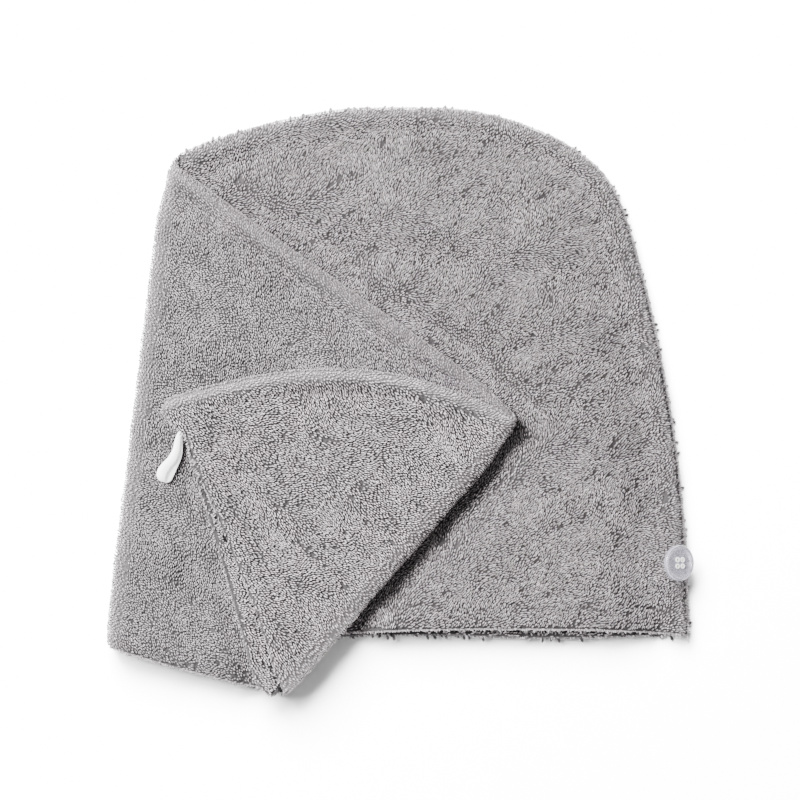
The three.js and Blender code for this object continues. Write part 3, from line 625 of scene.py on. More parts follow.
def make_panel(panel):
    """One ply of the bag as a closed sheet: outer face, inner face and a rounded edge."""
    grid = pattern_grid(panel)
    across, up = grid.shape[0] - 1, grid.shape[1] - 1

    def drawn_in(outer):
        moved = grid.copy()

        def pull(edge, beside):
            run = grid[beside] - grid[edge]
            far = np.linalg.norm(run, axis=-1, keepdims=True)
            moved[edge] += run / far * np.minimum(EDGE_ROUND, EDGE_SHARE * far)

        every = slice(None)
        pull((every, 0), (every, 1))
        if outer:
            pull((every, up), (every, up - 1))
            pull((0, every), (1, every))
            pull((across, every), (across - 1, every))
        return moved.reshape(-1, 2)

    flat = grid.reshape(-1, 2)
    outer_flat, inner_flat = drawn_in(True), drawn_in(False)
    outer_face = place(outer_flat, panel, True, PILE)
    inner_face = place(inner_flat, panel, False, LINING)
    edge = [(i, 0) for i in range(across)] + [(across, j) for j in range(up)]
    edge += [(i, up) for i in range(across, 0, -1)] + [(0, j) for j in range(up, 0, -1)]
    index = np.array([i * (up + 1) + j for i, j in edge])
    ring = (place(flat[index], panel, True, PILE) + place(flat[index], panel, False, LINING)) / 2

    count = len(flat)
    at = np.arange(count).reshape(across + 1, up + 1)
    quads = np.stack([at[:-1, :-1], at[1:, :-1], at[1:, 1:], at[:-1, 1:]], -1).reshape(-1, 4)
    following = np.roll(index, -1)
    rim_at = 2 * count + np.arange(len(edge))
    rim_next = np.roll(rim_at, -1)
    faces = [quads, quads[:, ::-1] + count]
    faces.append(np.stack([following, index, rim_at, rim_next], -1))
    faces.append(np.stack([rim_next, rim_at, index + count, following + count], -1))
    faces = np.concatenate(faces)
    if panel == "front":
        faces = faces[:, ::-1]

    positions = to_part(np.concatenate([outer_face, inner_face, ring]))
    piece = new_piece(f"{panel}_terry", positions, faces)
    add_values(piece, "rubbed_and_highlit", rubbed_and_highlit_at(panel, np.concatenate([flat, flat, flat[index]])))
    return piece


# Nodes

class Socket:
    """A node's output that takes part in arithmetic."""

    def __init__(self, tree, socket):
        self.tree = tree
        self.socket = socket

    def maths(self, operation, *operands):
        made = self.tree.node("ShaderNodeMath", {"operation": operation}, dict(enumerate(operands)))
        return self.tree.out(made, 0)

    def __add__(self, other):
        return self.maths("ADD", self, other)

    def __mul__(self, other):
        return self.maths("MULTIPLY", self, other)

    def __pow__(self, other):
        return self.maths("POWER", self, other)

    __radd__ = __add__
    __rmul__ = __mul__

    def held(self):
        return self.maths("MAXIMUM", self.maths("MINIMUM", self, 1.0), 0.0)


class Tree:
    """A node tree that is built by one method."""

    def __init__(self, node_tree):
        self.node_tree = node_tree
        node_tree.nodes.clear()

    def node(self, kind, settings=None, inputs=None):
        made = self.node_tree.nodes.new(kind)
        for name, value in (settings or {}).items():
            setattr(made, name, value)
        for name, value in (inputs or {}).items():
            slot = made.inputs[name]
            if isinstance(value, Socket):
                self.node_tree.links.new(value.socket, slot)
            else:
                slot.default_value = value
        return made

    def out(self, made, name):
        return Socket(self, made.outputs[name])


class Finish(Tree):
    """A material with one Principled shader, patterned on Object coordinates."""

    def __init__(self, name):
        self.material = bpy.data.materials.new(name)
        self.material.use_nodes = True
        super().__init__(self.material.node_tree)
        self.places = self.out(self.node("ShaderNodeTexCoord"), "Object")

    def noise(self, size, detail=2.0, roughness=0.5, stretch=(1, 1, 1), turn=0.0):
        """Noise whose features are about size metres wide."""
        scale = tuple(s / size for s in stretch)
        mapped = self.node(
            "ShaderNodeMapping",
            None,
            {"Vector": self.places, "Rotation": (0, 0, turn), "Scale": scale},
        )
        made = self.node(
            "ShaderNodeTexNoise",
            {"noise_dimensions": "3D"},
            {"Vector": self.out(mapped, 0), "Scale": 1.0, "Detail": detail, "Roughness": roughness},
        )
        return self.out(made, "Fac" if "Fac" in made.outputs else 0)

    def cells(self, size):
        """Distance from the middle of cells that are about size metres wide."""
        made = self.node(
            "ShaderNodeTexVoronoi", {"feature": "F1"}, {"Vector": self.places, "Scale": 1 / size}
        )
        return self.out(made, "Distance")

    def kept(self, name):
        """A value that the piece keeps for each vertex."""
        return self.out(self.node("ShaderNodeAttribute", {"attribute_name": name}), "Fac")

    def blend(self, share, low, high):
        low, high = (c if isinstance(c, Socket) else (*c, 1) for c in (low, high))
        made = self.node("ShaderNodeMix", {"data_type": "RGBA"}, {0: share, 6: low, 7: high})
        return self.out(made, 2)

    def tint(self, colour, share):
        """The colour made darker or lighter by a share around 1."""
        made = self.node("ShaderNodeVectorMath", {"operation": "SCALE"}, {0: colour, "Scale": share})
        return self.out(made, 0)

    def relief(self, depth_map, strength, distance):
        made = self.node(
            "ShaderNodeBump", None, {"Height": depth_map, "Strength": strength, "Distance": distance}
        )
        return self.out(made, 0)

    def shade(self, **inputs):
        named = {name.replace("_", " "): value for name, value in inputs.items()}
        shader = self.node("ShaderNodeBsdfPrincipled", None, named)
        self.node("ShaderNodeOutputMaterial", None, {"Surface": self.out(shader, 0)})
        return self.material


def terry_ground():
    finish = Finish("terry_ground")
    loops = finish.cells(0.0012)
    grain = finish.noise(0.0016, 3, 0.6, (1, 2.2, 1), 0.6)
    patches = finish.noise(0.03, 2)
    hollow = (loops * 0.9 + grain * 0.6).held()
    # The woven ground is painted nearly black, darkest in its pits: painted shade between and in
    # place of the loops
    colour = finish.blend(hollow, (0.01, 0.009, 0.0095), (0.045, 0.041, 0.043))
    # Lighter where the pile is rubbed: a painted highlight
    colour = finish.blend(finish.kept("rubbed_and_highlit") * 0.3, colour, (0.3, 0.273, 0.282))
    return finish.shade(
        Base_Color=finish.tint(colour, 0.85 + patches * 0.3),
        Roughness=0.95,
        Normal=finish.relief(hollow, 0.9, 0.0008),
        Sheen_Weight=0.1,
        Sheen_Roughness=0.5,
    )


def terry_pile(name, deep, tip, painted_highlight_tip):
    """Yarn painted nearly black in the depth of the pile and pale on the loops' ridges and tips:
    painted shade below, a painted highlight above.
    """
    finish = Finish(name)
    rubbed_and_highlit = finish.kept("rubbed_and_highlit")
    patches = finish.noise(0.028, 3, 0.55)
    yarn = finish.noise(0.0005, 2, 0.6)
    colour = finish.blend((finish.kept("lift") ** 2.2).held(), deep, tip)
    # Rubbed loops are painted lighter: a painted highlight
    colour = finish.blend(rubbed_and_highlit * 0.28, colour, painted_highlight_tip)
    # Each piece's lightness share paints it lighter or darker: painted light on the top piece and the
    # mouth, painted shade on the flap; the loops' random share and the patches vary the yarn's own
    # tone
    lightness = (0.52 + finish.kept("shade") ** 2.0 * 0.8 + patches * 0.2) * finish.kept("painted_light")
    return finish.shade(
        Base_Color=finish.tint(colour, lightness),
        Roughness=0.9,
        Normal=finish.relief(yarn, 0.4, 0.0002),
        Sheen_Weight=0.12,
        Sheen_Roughness=0.5,
    )


def satin_tape():
    finish = Finish("satin_tape")
    ribs = finish.noise(0.0004, 1, 0.5, (1, 6, 1), 0.9)
    wear = finish.noise(0.004, 2)
    colour = finish.blend(wear, (0.9, 0.9, 0.895), (0.96, 0.96, 0.955))
    return finish.shade(
        Base_Color=colour,
        Roughness=0.32 + ribs * 0.15,
        Normal=finish.relief(ribs, 0.35, 0.0001),
        Sheen_Weight=0.3,
        # The tape glows: painted light
        Emission_Color=colour,
        Emission_Strength=PAINTED_TAPE_GLOW,
    )


def clear_plastic():
    finish = Finish("clear_plastic")
    cloud = finish.noise(0.005, 2)
    scuffs = finish.noise(0.0009, 3, 0.6)
    return finish.shade(
        Base_Color=finish.blend(cloud, (0.76, 0.735, 0.86), (0.88, 0.86, 0.96)),
        Roughness=0.06 + scuffs * 0.08,
        Normal=finish.relief(scuffs, 0.05, 0.0001),
        Transmission_Weight=0.82,
        IOR=1.49,
        Coat_Weight=0.3,
    )


def sewing_thread():
    finish = Finish("sewing_thread")
    twist = finish.noise(0.0005, 2, 0.5, (1, 4, 1), 0.7)
    # Darker where the twist's relief is low: painted shade in the grooves of the twist
    colour = finish.blend(twist, (0.66, 0.65, 0.63), (0.92, 0.91, 0.89))
    return finish.shade(Base_Color=colour, Roughness=0.75, Normal=finish.relief(twist, 0.8, 0.0002))


def pale_floor():
    finish = Finish("pale_floor")
    paper = finish.noise(0.0008, 3, 0.6)
    return finish.shade(
        Base_Color=finish.blend(paper, (0.9, 0.9, 0.9), (0.93, 0.93, 0.93)),
        Roughness=0.9,
        Normal=finish.relief(paper, 0.05, 0.0001),
    )


# Pile

NAP_TURN = 2.4
NAP_BENDS = [(0.62, 21, 38), (0.3, 22, 15)]  # reach in radians, seed and size of each bend of the nap
ROOT_STEP = 0.4
EDGE_SINK = 0.6
SETTLING_ROUNDS = 24

# Fields of loops: ply, outer face, spacing across and along the nap, then the loop's length, width,
# height and lean
FIELDS = {
    "body_pile": ("front", True, (1.04, 1.78), (2.15, 0.73, 1.2, 0.36)),
    "top_pile": ("front", True, (1.07, 1.8), (2.25, 0.76, 1.25, 0.38)),
    "flap_pile": ("back", True, (0.97, 1.62), (1.9, 0.69, 1.05, 0.36)),
    "underside_pile": ("back", True, (1.7, 3.0), (3.2, 1.4, 0.7, 0.1)),
    "mouth_pile": ("back", False, (1.0, 1.7), (2.0, 0.85, 0.9, 0.45)),
}
# Lightness of each field's loops: painted light on the top piece and in the mouth, painted shade on
# the flap
PAINTED_LIGHT_SHARES = {"top_pile": 1.2, "flap_pile": 0.92, "mouth_pile": 1.15}
MOST_LOOPS = 15500  # in one piece
FRINGE_PITCH = 0.62
HEM_FRINGE_IN = 0.7
FRINGE_SIZE = (1.6, 0.66, 0.7, 0.15)
FRINGE_RIM = 1.35  # tufts along the sewn edge, as a share of those along the hem
FRINGE_ENDS = 2
FRINGE_GAPS = (44, 7)  # seed and size of the waves that thin it past the second fold
FRINGE_KEPT = -0.3
# Fringe loops are painted lighter: a painted highlight on the fuzz at the edges
FRINGE_PAINTED_HIGHLIGHT = 0.35
SEAM_STITCH = 3.1
SEAM_STITCH_AT = 1.5  # from the seam
SEAM_STITCH_HALF = 0.4
SEAM_STITCH_ALONG = 32  # the stitches show up to here
SEAM_STITCH_UP = 175
PULLED_HALF = 0.5  # of the bare line where the hem's stitches are tight
PULLED_MORE = 0.55
EDGE_BARE = 0.15
UNDER_REACH = 4  # how far loops go on under the folded tail
MOUTH_WAVES = (45, 8)
MOUTH_LEAST = -0.4  # from the front ply's hem to the loops inside the mouth
MOUTH_SWING = 1.9
MOUTH_FULL = 0.6
CROWDING = 1.2  # roots to begin with, over those that fit
FIELD_MARGIN = 3.0
FIELD_BELOW = 20.0
PUSH = 0.3
LEAST_FAR = 0.05
NAP_SPREAD = 0.12
FRINGE_NAP_SPREAD = 0.25
OUTWARD_FROM = 0.1
OUTWARD_TO = 1.3
OUTWARD_SHARE = 0.75
BRUSHED_SHRINK = 0.2
LEAN_SPREAD = 0.15
FRINGE_LEAN_SPREAD = 0.35
FLOOR_CLEAR = 0.05
ROOT_SEED, LEAN_SEED, GROW_SEED = 40, 50, 60
FRINGE_SEED, FRINGE_GROW_SEED = 70, 80


def edge_distance(panel, p):
    return np.minimum(seam.inside(p), p[:, 1] - hem_up(panel, p[:, 0]))


def in_field(name, p):
    """Whether loops stand there: where the face is in view, and free of stitches."""
    past_one, past_two = fold_one.past(p), fold_two.past(p)
    panel = FIELDS[name][0]
    hem = p[:, 1] - hem_up(panel, p[:, 0])
    kept = edge_distance(panel, p) > EDGE_BARE
    if name == "body_pile":
        rim = seam.inside(p)
        stitch = np.sin(math.tau * p[:, 1] / SEAM_STITCH) > 0
        in_sight = (p[:, 0] < SEAM_STITCH_ALONG) & (p[:, 1] < SEAM_STITCH_UP)
        sewn = (abs(rim - SEAM_STITCH_AT) < SEAM_STITCH_HALF) & in_sight & stitch
        pulled = (abs(hem - STITCH_AT) < PULLED_HALF) & (stitch_pull(p) > PULLED_MORE)
        return kept & (past_one <= 0) & (under_flap(p) < UNDER_REACH) & ~sewn & ~pulled
    if name == "top_pile":
        return kept & (past_two > 0)
    if name == "flap_pile":
        flap = under_top(fold_one.turn_back(p)) < UNDER_REACH
        return kept & (past_one > 0) & (past_two <= 0) & ((past_one < HALF_TURN) | flap)
    if name == "underside_pile":
        return kept & (past_one <= 0)
    ragged = smooth(0, MOUTH_FULL, waves(p, *MOUTH_WAVES)) * (past_two > 0)
    gap = MOUTH_LEAST + MOUTH_SWING * ragged
    short = p[:, 1] < hem_up("front", p[:, 0]) - gap
    return kept & short & ((past_one <= 0) | (past_two >= HALF_TURN))


def nap_turn(p):
    return NAP_TURN + sum(reach * waves(p, seed, size) for reach, seed, size in NAP_BENDS)


def near_pairs(p, reach):
    """Pairs of points that lie within about one reach of each other."""
    cell = np.floor((p - p.min(0)) / reach).astype(int) + 1
    row = cell[:, 1].max() + 2
    key = cell[:, 0] * row + cell[:, 1]
    order = np.argsort(key, kind="stable")
    ranked = key[order]
    ones, others = [], []
    for step in (-row - 1, -row, 1 - row, -1, 0, 1, row - 1, row, row + 1):
        low = np.searchsorted(ranked, key + step, side="left")
        count = np.searchsorted(ranked, key + step, side="right") - low
        one = np.repeat(np.arange(len(p)), count)
        first = np.repeat(low - np.cumsum(count) + count, count)
        ones.append(one)
        others.append(order[first + np.arange(len(one))])
    one, other = np.concatenate(ones), np.concatenate(others)
    apart = one != other
    return one[apart], other[apart]


def settled(p, across, along):
    """Scattered points pushed apart until they stand in uneven rows along the nap."""
    for _ in range(SETTLING_ROUNDS):
        turn = nap_turn(p)
        nap = np.stack([np.cos(turn), np.sin(turn)], -1)
        side = np.stack([-nap[:, 1], nap[:, 0]], -1)
        one, other = near_pairs(p, along)
        off = p[other] - p[one]
        ahead = (off * nap[one]).sum(1) / along
        aside = (off * side[one]).sum(1) / across
        far = np.maximum(np.hypot(ahead, aside), LEAST_FAR)
        push = -PUSH * np.maximum(1 - far, 0) / far
        move = nap[one] * (push * ahead * along)[:, None]
        move += side[one] * (push * aside * across)[:, None]
        p = p + np.stack([np.bincount(one, move[:, k], len(p)) for k in (0, 1)], -1)
    return p


def roots_of_field(name, seed):
    panel, outer, (across, along), _ = FIELDS[name]
    dice = np.random.default_rng(seed)
    low = np.array([-FIELD_MARGIN, -FIELD_BELOW])
    high = np.array([BAG_LENGTH + FIELD_MARGIN, DOME_HEIGHT + FIELD_MARGIN])
    count = int(np.prod(high - low) * CROWDING / (across * along))
    p = low + dice.random((count, 2)) * (high - low)
    reach = 2 * along
    ways = ((0, 0), (reach, 0), (-reach, 0), (0, reach), (0, -reach))
    near = [in_field(name, p + way) for way in ways]
    p = settled(p[np.any(near, axis=0)], across, along)
    return p[in_field(name, p)]


def roots_of_fringe(panel):
    """Places along a ply's edge whose loops stand out past it."""
    count = int((BAG_LENGTH * FRINGE_RIM) / FRINGE_PITCH)
    rim = seam.at(np.linspace(0, 1, count))
    hem_count = int(BAG_LENGTH / FRINGE_PITCH)
    along = np.linspace(FRINGE_ENDS, BAG_LENGTH - FRINGE_ENDS, hem_count)
    hem = np.stack([along, hem_up(panel, along) + HEM_FRINGE_IN], -1)
    if panel == "front":
        hem = hem[(waves(hem, *FRINGE_GAPS) > FRINGE_KEPT) | (fold_two.past(hem) < 0)]
    return np.concatenate([rim, hem])


def root_mesh(name, panel, outer, p, seed, painted_light=1.0, fringe=False):
    """The roots as a mesh of points that keep their nap, their face's way up and their size."""
    dice = np.random.default_rng(seed)
    inset = PILE if outer else LINING

    def face(q):
        return place(q, panel, outer, inset)

    steps = ((ROOT_STEP, 0), (0, ROOT_STEP))
    at, edge = face(p), edge_distance(panel, p)
    u, v = ((face(p + step) - at) / ROOT_STEP for step in steps)
    slope = np.stack([(edge_distance(panel, p + step) - edge) / ROOT_STEP for step in steps], -1)
    up = np.cross(u, v)
    up *= (-1 if outer == (panel == "front") else 1) / np.linalg.norm(up, axis=1, keepdims=True)
    turn = nap_turn(p) + dice.normal(0, FRINGE_NAP_SPREAD if fringe else NAP_SPREAD, len(p))
    outward = np.ones(len(p)) if fringe else 1 - smooth(OUTWARD_FROM, OUTWARD_TO, edge)
    way = np.stack([np.cos(turn), np.sin(turn)], -1) * (1 - OUTWARD_SHARE * outward)[:, None]
    way -= slope * outward[:, None]
    nap = u * way[:, :1] + v * way[:, 1:]
    nap /= np.linalg.norm(nap, axis=1, keepdims=True)
    near_edge = 1 if fringe else 1 - np.minimum(edge / EDGE_ROUND, 1)
    sunk = np.full(len(p), EDGE_SINK) * near_edge
    rubbed_and_highlit = rubbed_and_highlit_at(panel, p)
    piece = new_piece(name, to_part(at - up * sunk[:, None]), [], False)
    add_values(piece, "nap", nap)
    add_values(piece, "up", up)
    # The rubbed share drives a painted highlight in the finish; fringe loops get a fixed painted
    # highlight
    add_values(piece, "rubbed_and_highlit", np.full(len(p), FRINGE_PAINTED_HIGHLIGHT) if fringe else rubbed_and_highlit)
    # A share of lightness for the piece: painted light or painted shade
    add_values(piece, "painted_light", np.full(len(p), painted_light))
    add_values(piece, "size", 1 - BRUSHED_SHRINK * rubbed_and_highlit)
    return piece


def loop_of_yarn():
    """One leaning loop, seen as a grain: 1 long from its root at the origin, 1 wide and 1 high."""
    rings = [(0.3, 0.85, 0.8), (0.7, 1, 1)]
    points, lifts = [(0, 0, 0)], [0.0]
    # The lift, 0 at the root and 1 on the ridge, is painted from dark to pale by the pile's finish:
    # painted shade low and on the flanks, a painted highlight on the ridge
    for x, wide, high in rings:
        points += [(x, 0, high), (x, wide / 2, high * 0.3), (x, -wide / 2, high * 0.3)]
        lifts += [0.55 + 0.45 * x / 0.7, 0.3, 0.3]
    points.append((1, 0, 0.5))
    lifts.append(0.85)
    faces = [(0, 1, 2), (0, 2, 3), (0, 3, 1)]
    for k, after in ((0, 1), (1, 2), (2, 0)):
        faces.append((1 + k, 4 + k, 4 + after))
        faces.append((1 + k, 4 + after, 1 + after))
        faces.append((4 + k, 7, 4 + after))
    piece = new_piece("loop_of_yarn", points, [f[::-1] for f in faces])
    add_values(piece, "lift", lifts)
    return piece


def pile_tree():
    """A loop on each root, leaning along its nap."""
    group = bpy.data.node_groups.new("pile", "GeometryNodeTree")
    face = group.interface
    face.new_socket("Roots", in_out="INPUT", socket_type="NodeSocketGeometry")
    for name, kind in (
        ("Loop", "Object"), ("Finish", "Material"), ("Length", "Float"), ("Width", "Float"),
        ("Height", "Float"), ("Lean", "Float"), ("Lean spread", "Float"), ("Seed", "Int"),
    ):
        face.new_socket(name, in_out="INPUT", socket_type=f"NodeSocket{kind}")
    face.new_socket("Pile", in_out="OUTPUT", socket_type="NodeSocketGeometry")
    tree = Tree(group)
    given = tree.node("NodeGroupInput")

    def of(name):
        return tree.out(given, name)

    def kept(name, kind):
        made = tree.node("GeometryNodeInputNamedAttribute", {"data_type": kind}, {"Name": name})
        return tree.out(made, 0)

    def random(low, high, turn):
        made = tree.node(
            "FunctionNodeRandomValue",
            {"data_type": "FLOAT"},
            {2: low, 3: high, "Seed": of("Seed") + turn},
        )
        return tree.out(made, 1)

    up = kept("up", "FLOAT_VECTOR")
    rise = tree.node(
        "ShaderNodeVectorMath",
        {"operation": "SCALE"},
        {0: up, "Scale": of("Lean") + of("Lean spread") * random(-1.0, 1.0, 1)},
    )
    leaning = tree.node(
        "ShaderNodeVectorMath",
        {"operation": "ADD"},
        {0: kept("nap", "FLOAT_VECTOR"), 1: tree.out(rise, 0)},
    )
    first = tree.node(
        "FunctionNodeAlignRotationToVector", {"axis": "X"}, {"Vector": tree.out(leaning, 0)}
    )
    second = tree.node(
        "FunctionNodeAlignRotationToVector",
        {"axis": "Z", "pivot_axis": "X"},
        {"Rotation": tree.out(first, 0), "Vector": up},
    )
    loop = tree.node("GeometryNodeObjectInfo", None, {"Object": of("Loop")})
    full = kept("size", "FLOAT")
    size = tree.node(
        "ShaderNodeCombineXYZ",
        None,
        {
            "X": of("Length") * full * random(0.75, 1.25, 2),
            "Y": of("Width") * full * random(0.85, 1.15, 3),
            "Z": of("Height") * full * random(0.75, 1.25, 4),
        },
    )
    shaded = tree.node(
        "GeometryNodeStoreNamedAttribute",
        {"data_type": "FLOAT", "domain": "POINT"},
        {"Geometry": of("Roots"), "Name": "shade", "Value": random(0.0, 1.0, 5)},
    )
    planted = tree.node(
        "GeometryNodeInstanceOnPoints",
        None,
        {
            "Points": tree.out(shaded, 0),
            "Instance": tree.out(loop, "Geometry"),
            "Rotation": tree.out(second, 0),
            "Scale": tree.out(size, 0),
        },
    )
    real = tree.node("GeometryNodeRealizeInstances", None, {"Geometry": tree.out(planted, 0)})
    soft = tree.node("GeometryNodeSetShadeSmooth", None, {"Geometry": tree.out(real, 0)})
    done = tree.node(
        "GeometryNodeSetMaterial", None, {"Geometry": tree.out(soft, 0), "Material": of("Finish")}
    )
    tree.node("NodeGroupOutput", None, {0: tree.out(done, 0)})
    return group


def grown(source, group, name, values):
    """The mesh that a node tree makes of an object, as a piece of its own."""
    maker = source.modifiers.new("maker", "NODES")
    maker.node_group = group
    named = {s.name: s.identifier for s in group.interface.items_tree if s.in_out == "INPUT"}
    for key, value in values.items():
        maker[named[key]] = value
    bpy.context.view_layer.update()
    seen = source.evaluated_get(bpy.context.evaluated_depsgraph_get())
    mesh = bpy.data.meshes.new_from_object(seen)
    source.modifiers.remove(maker)
    mesh.name = name
    piece = bpy.data.objects.new(name, mesh)
    bpy.context.scene.collection.objects.link(piece)
    return piece


def above_floor(piece, least):
    count = len(piece.data.vertices)
    places = np.empty(3 * count, np.float32)
    piece.data.vertices.foreach_get("co", places)
    places[2::3] = np.maximum(places[2::3], least)
    piece.data.vertices.foreach_set("co", places)


def pile_on(name, roots, finish, size, lean_spread, seed):
    length, width, high, lean = size
    made = grown(
        roots,
        growing,
        name,
        {
            "Loop": yarn,
            "Finish": finish,
            "Length": length * MM,
            "Width": width * MM,
            "Height": high * MM,
            "Lean": lean,
            "Lean spread": lean_spread,
            "Seed": seed,
        },
    )
    bpy.data.objects.remove(roots)
    for value in ("nap", "up", "size"):
        made.data.attributes.remove(made.data.attributes[value])
    above_floor(made, FLOOR_CLEAR * MM)
    return made


def clothe(piece, material):
    piece.data.materials.clear()
    piece.data.materials.append(material)
    return piece


ground = terry_ground()
panels = {name: clothe(make_panel(name), ground) for name in ("back", "front")}
grey_pile = terry_pile(
    "grey_pile", (0.012, 0.0105, 0.011), (0.66, 0.598, 0.618), (0.64, 0.583, 0.602)
)
# The flap's pile: a darker, purplish copy of the grey pile, as painted shade
shaded_flap_pile = terry_pile(
    "shaded_flap_pile", (0.012, 0.0105, 0.0115), (0.6, 0.54, 0.572), (0.6, 0.543, 0.57)
)
yarn = loop_of_yarn()
growing = pile_tree()
pile_pieces = {"back": [], "front": []}
for seed, (name, (panel, outer, _, size)) in enumerate(FIELDS.items()):
    finish = shaded_flap_pile if name == "flap_pile" else grey_pile
    p = roots_of_field(name, ROOT_SEED + seed)
    p = p[np.argsort(p[:, 0])]
    parts = np.array_split(p, math.ceil(len(p) / MOST_LOOPS))
    for part, rows in enumerate(parts):
        roots = root_mesh("roots", panel, outer, rows, LEAN_SEED + seed, PAINTED_LIGHT_SHARES.get(name, 1.0))
        full_name = name if len(parts) == 1 else f"{name}_{part + 1}"
        grow_seed = GROW_SEED + 10 * seed + part
        pile = pile_on(full_name, roots, finish, size, LEAN_SPREAD, grow_seed)
        pile_pieces[panel].append(pile)
for seed, panel in enumerate(("back", "front")):
    rim_and_hem = roots_of_fringe(panel)
    roots = root_mesh("roots", panel, True, rim_and_hem, FRINGE_SEED + seed, fringe=True)
    grow_seed = FRINGE_GROW_SEED + seed
    fringe = pile_on(
        f"{panel}_fringe", roots, grey_pile, FRINGE_SIZE, FRINGE_LEAN_SPREAD, grow_seed
    )
    pile_pieces[panel].append(fringe)
bpy.data.objects.remove(yarn)


# Button, its thread and the tape loop

button_low, button_high = (np.array(corner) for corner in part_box("button"))
button_seat = Matrix.Translation((button_low + button_high) / 2) @ Matrix.Rotation(
    math.radians(BUTTON_TILT), 4, "Y"
)
HOLES = [(x * HOLE_PITCH / 2, y * HOLE_PITCH / 2) for x, y in ((-1, -1), (1, -1), (1, 1), (-1, 1))]
ROUND = 72
BORE_SIDES = 24
BASE_BEVEL = 0.9  # radius of the disc's lower edge
BASE_FLAT = 1.6  # from the disc's edge to where its flat underside ends
DISH_ROUND = 0.5
BORE_PAST = 1
SHARP = 35  # degrees
RING_LIFT = 0.3  # of the thread's rings over the dish


def seated(piece):
    piece.data.transform(Matrix.Scale(MM, 4))
    piece.data.transform(button_seat)
    return piece


def turned_disc(name, profile, sides):
    """A closed body of revolution, from (radius, height) pairs that start and end on the Z axis."""
    rings = profile[1:-1]
    points = [(0, 0, profile[0][1])]
    for radius, high in rings:
        for k in range(sides):
            turn = math.tau * k / sides
            points.append((radius * math.cos(turn), radius * math.sin(turn), high))
    points.append((0, 0, profile[-1][1]))
    faces = []
    for k in range(sides):
        after = (k + 1) % sides
        faces.append((0, 1 + after, 1 + k))
        for ring in range(len(rings) - 1):
            low, high = 1 + ring * sides, 1 + (ring + 1) * sides
            faces.append((low + k, low + after, high + after, high + k))
        last = 1 + (len(rings) - 1) * sides
        faces.append((last + k, last + after, len(points) - 1))
    return new_piece(name, points, faces)


def arc(centre, radius, start, end, steps):
    turns = np.radians(np.linspace(start, end, steps))
    return [(centre[0] + radius * math.cos(t), centre[1] + radius * math.sin(t)) for t in turns]


def make_button():
    """Clear disc with a rounded raised rim, a dish and four sewing holes."""
    radius, half = BUTTON_DIAMETER / 2, BUTTON_THICK / 2
    bead = BUTTON_RIM / 2
    profile = [(0, -half), (radius - BASE_FLAT, -half)]
    profile += arc((radius - BASE_BEVEL, -half + BASE_BEVEL), BASE_BEVEL, -80, 0, 7)
    profile += arc((radius - bead, half - bead), bead, 0, 180, 15)
    foot = (radius - BUTTON_RIM - DISH_ROUND, half - BUTTON_DISH + DISH_ROUND)
    profile += arc(foot, DISH_ROUND, 330, 270, 5)
    profile += [(0, half - BUTTON_DISH)]
    disc = turned_disc("clear_button", profile, ROUND)
    wall, end = HOLE_DIAMETER / 2, half + BORE_PAST
    for at in HOLES:
        bore = turned_disc("bore", [(0, -end), (wall, -end), (wall, end), (0, end)], BORE_SIDES)
        bore.data.transform(Matrix.Translation((*at, 0)))
        cut = disc.modifiers.new("cut", "BOOLEAN")
        cut.operation, cut.solver, cut.object = "DIFFERENCE", "EXACT", bore
        bpy.context.view_layer.update()
        seen = disc.evaluated_get(bpy.context.evaluated_depsgraph_get())
        mesh = bpy.data.meshes.new_from_object(seen)
        disc.modifiers.remove(cut)
        disc.data = mesh
        bpy.data.objects.remove(bore)
    disc.data.name = "clear_button"
    disc.data.set_sharp_from_angle(angle=math.radians(SHARP))
    return seated(disc)


def tube(points, radius, sides=10):
    """Vertices and faces of a closed tube along points."""
    points = np.asarray(points, float)
    along = np.gradient(points, axis=0)
    along /= np.linalg.norm(along, axis=1, keepdims=True)
    side = np.cross(along, (0.31, 0.95, 0.12))
    side /= np.linalg.norm(side, axis=1, keepdims=True)
    other = np.cross(along, side)
    turns = math.tau * np.arange(sides) / sides
    ring = side[:, None] * np.cos(turns)[:, None] + other[:, None] * np.sin(turns)[:, None]
    spots = (points[:, None] + radius * ring).reshape(-1, 3).tolist()
    spots += [points[0].tolist(), points[-1].tolist()]
    last = (len(points) - 1) * sides
    faces = []
    for k in range(sides):
        after = (k + 1) % sides
        for i in range(len(points) - 1):
            a = i * sides
            faces.append((a + k, a + after, a + sides + after, a + sides + k))
        faces.append((len(spots) - 2, after, k))
        faces.append((len(spots) - 1, last + k, last + after))
    return spots, faces


def ring_tube(centre, radius, thick, sides=10, steps=28):
    """Vertices and faces of a ring that lies flat."""
    spots, faces = [], []
    for i in range(steps):
        turn = math.tau * i / steps
        for k in range(sides):
            roll = math.tau * k / sides
            reach = radius + thick * math.cos(roll)
            x, y = centre[0] + reach * math.cos(turn), centre[1] + reach * math.sin(turn)
            spots.append((x, y, centre[2] + thick * math.sin(roll)))
            a, b = i * sides, (i + 1) % steps * sides
            after = (k + 1) % sides
            faces.append((a + k, b + k, b + after, a + after))
    return spots, faces


def joined(name, parts):
    spots, faces = [], []
    for more_spots, more_faces in parts:
        faces += [tuple(len(spots) + i for i in face) for face in more_faces]
        spots += [tuple(spot) for spot in more_spots]
    return new_piece(name, spots, faces)


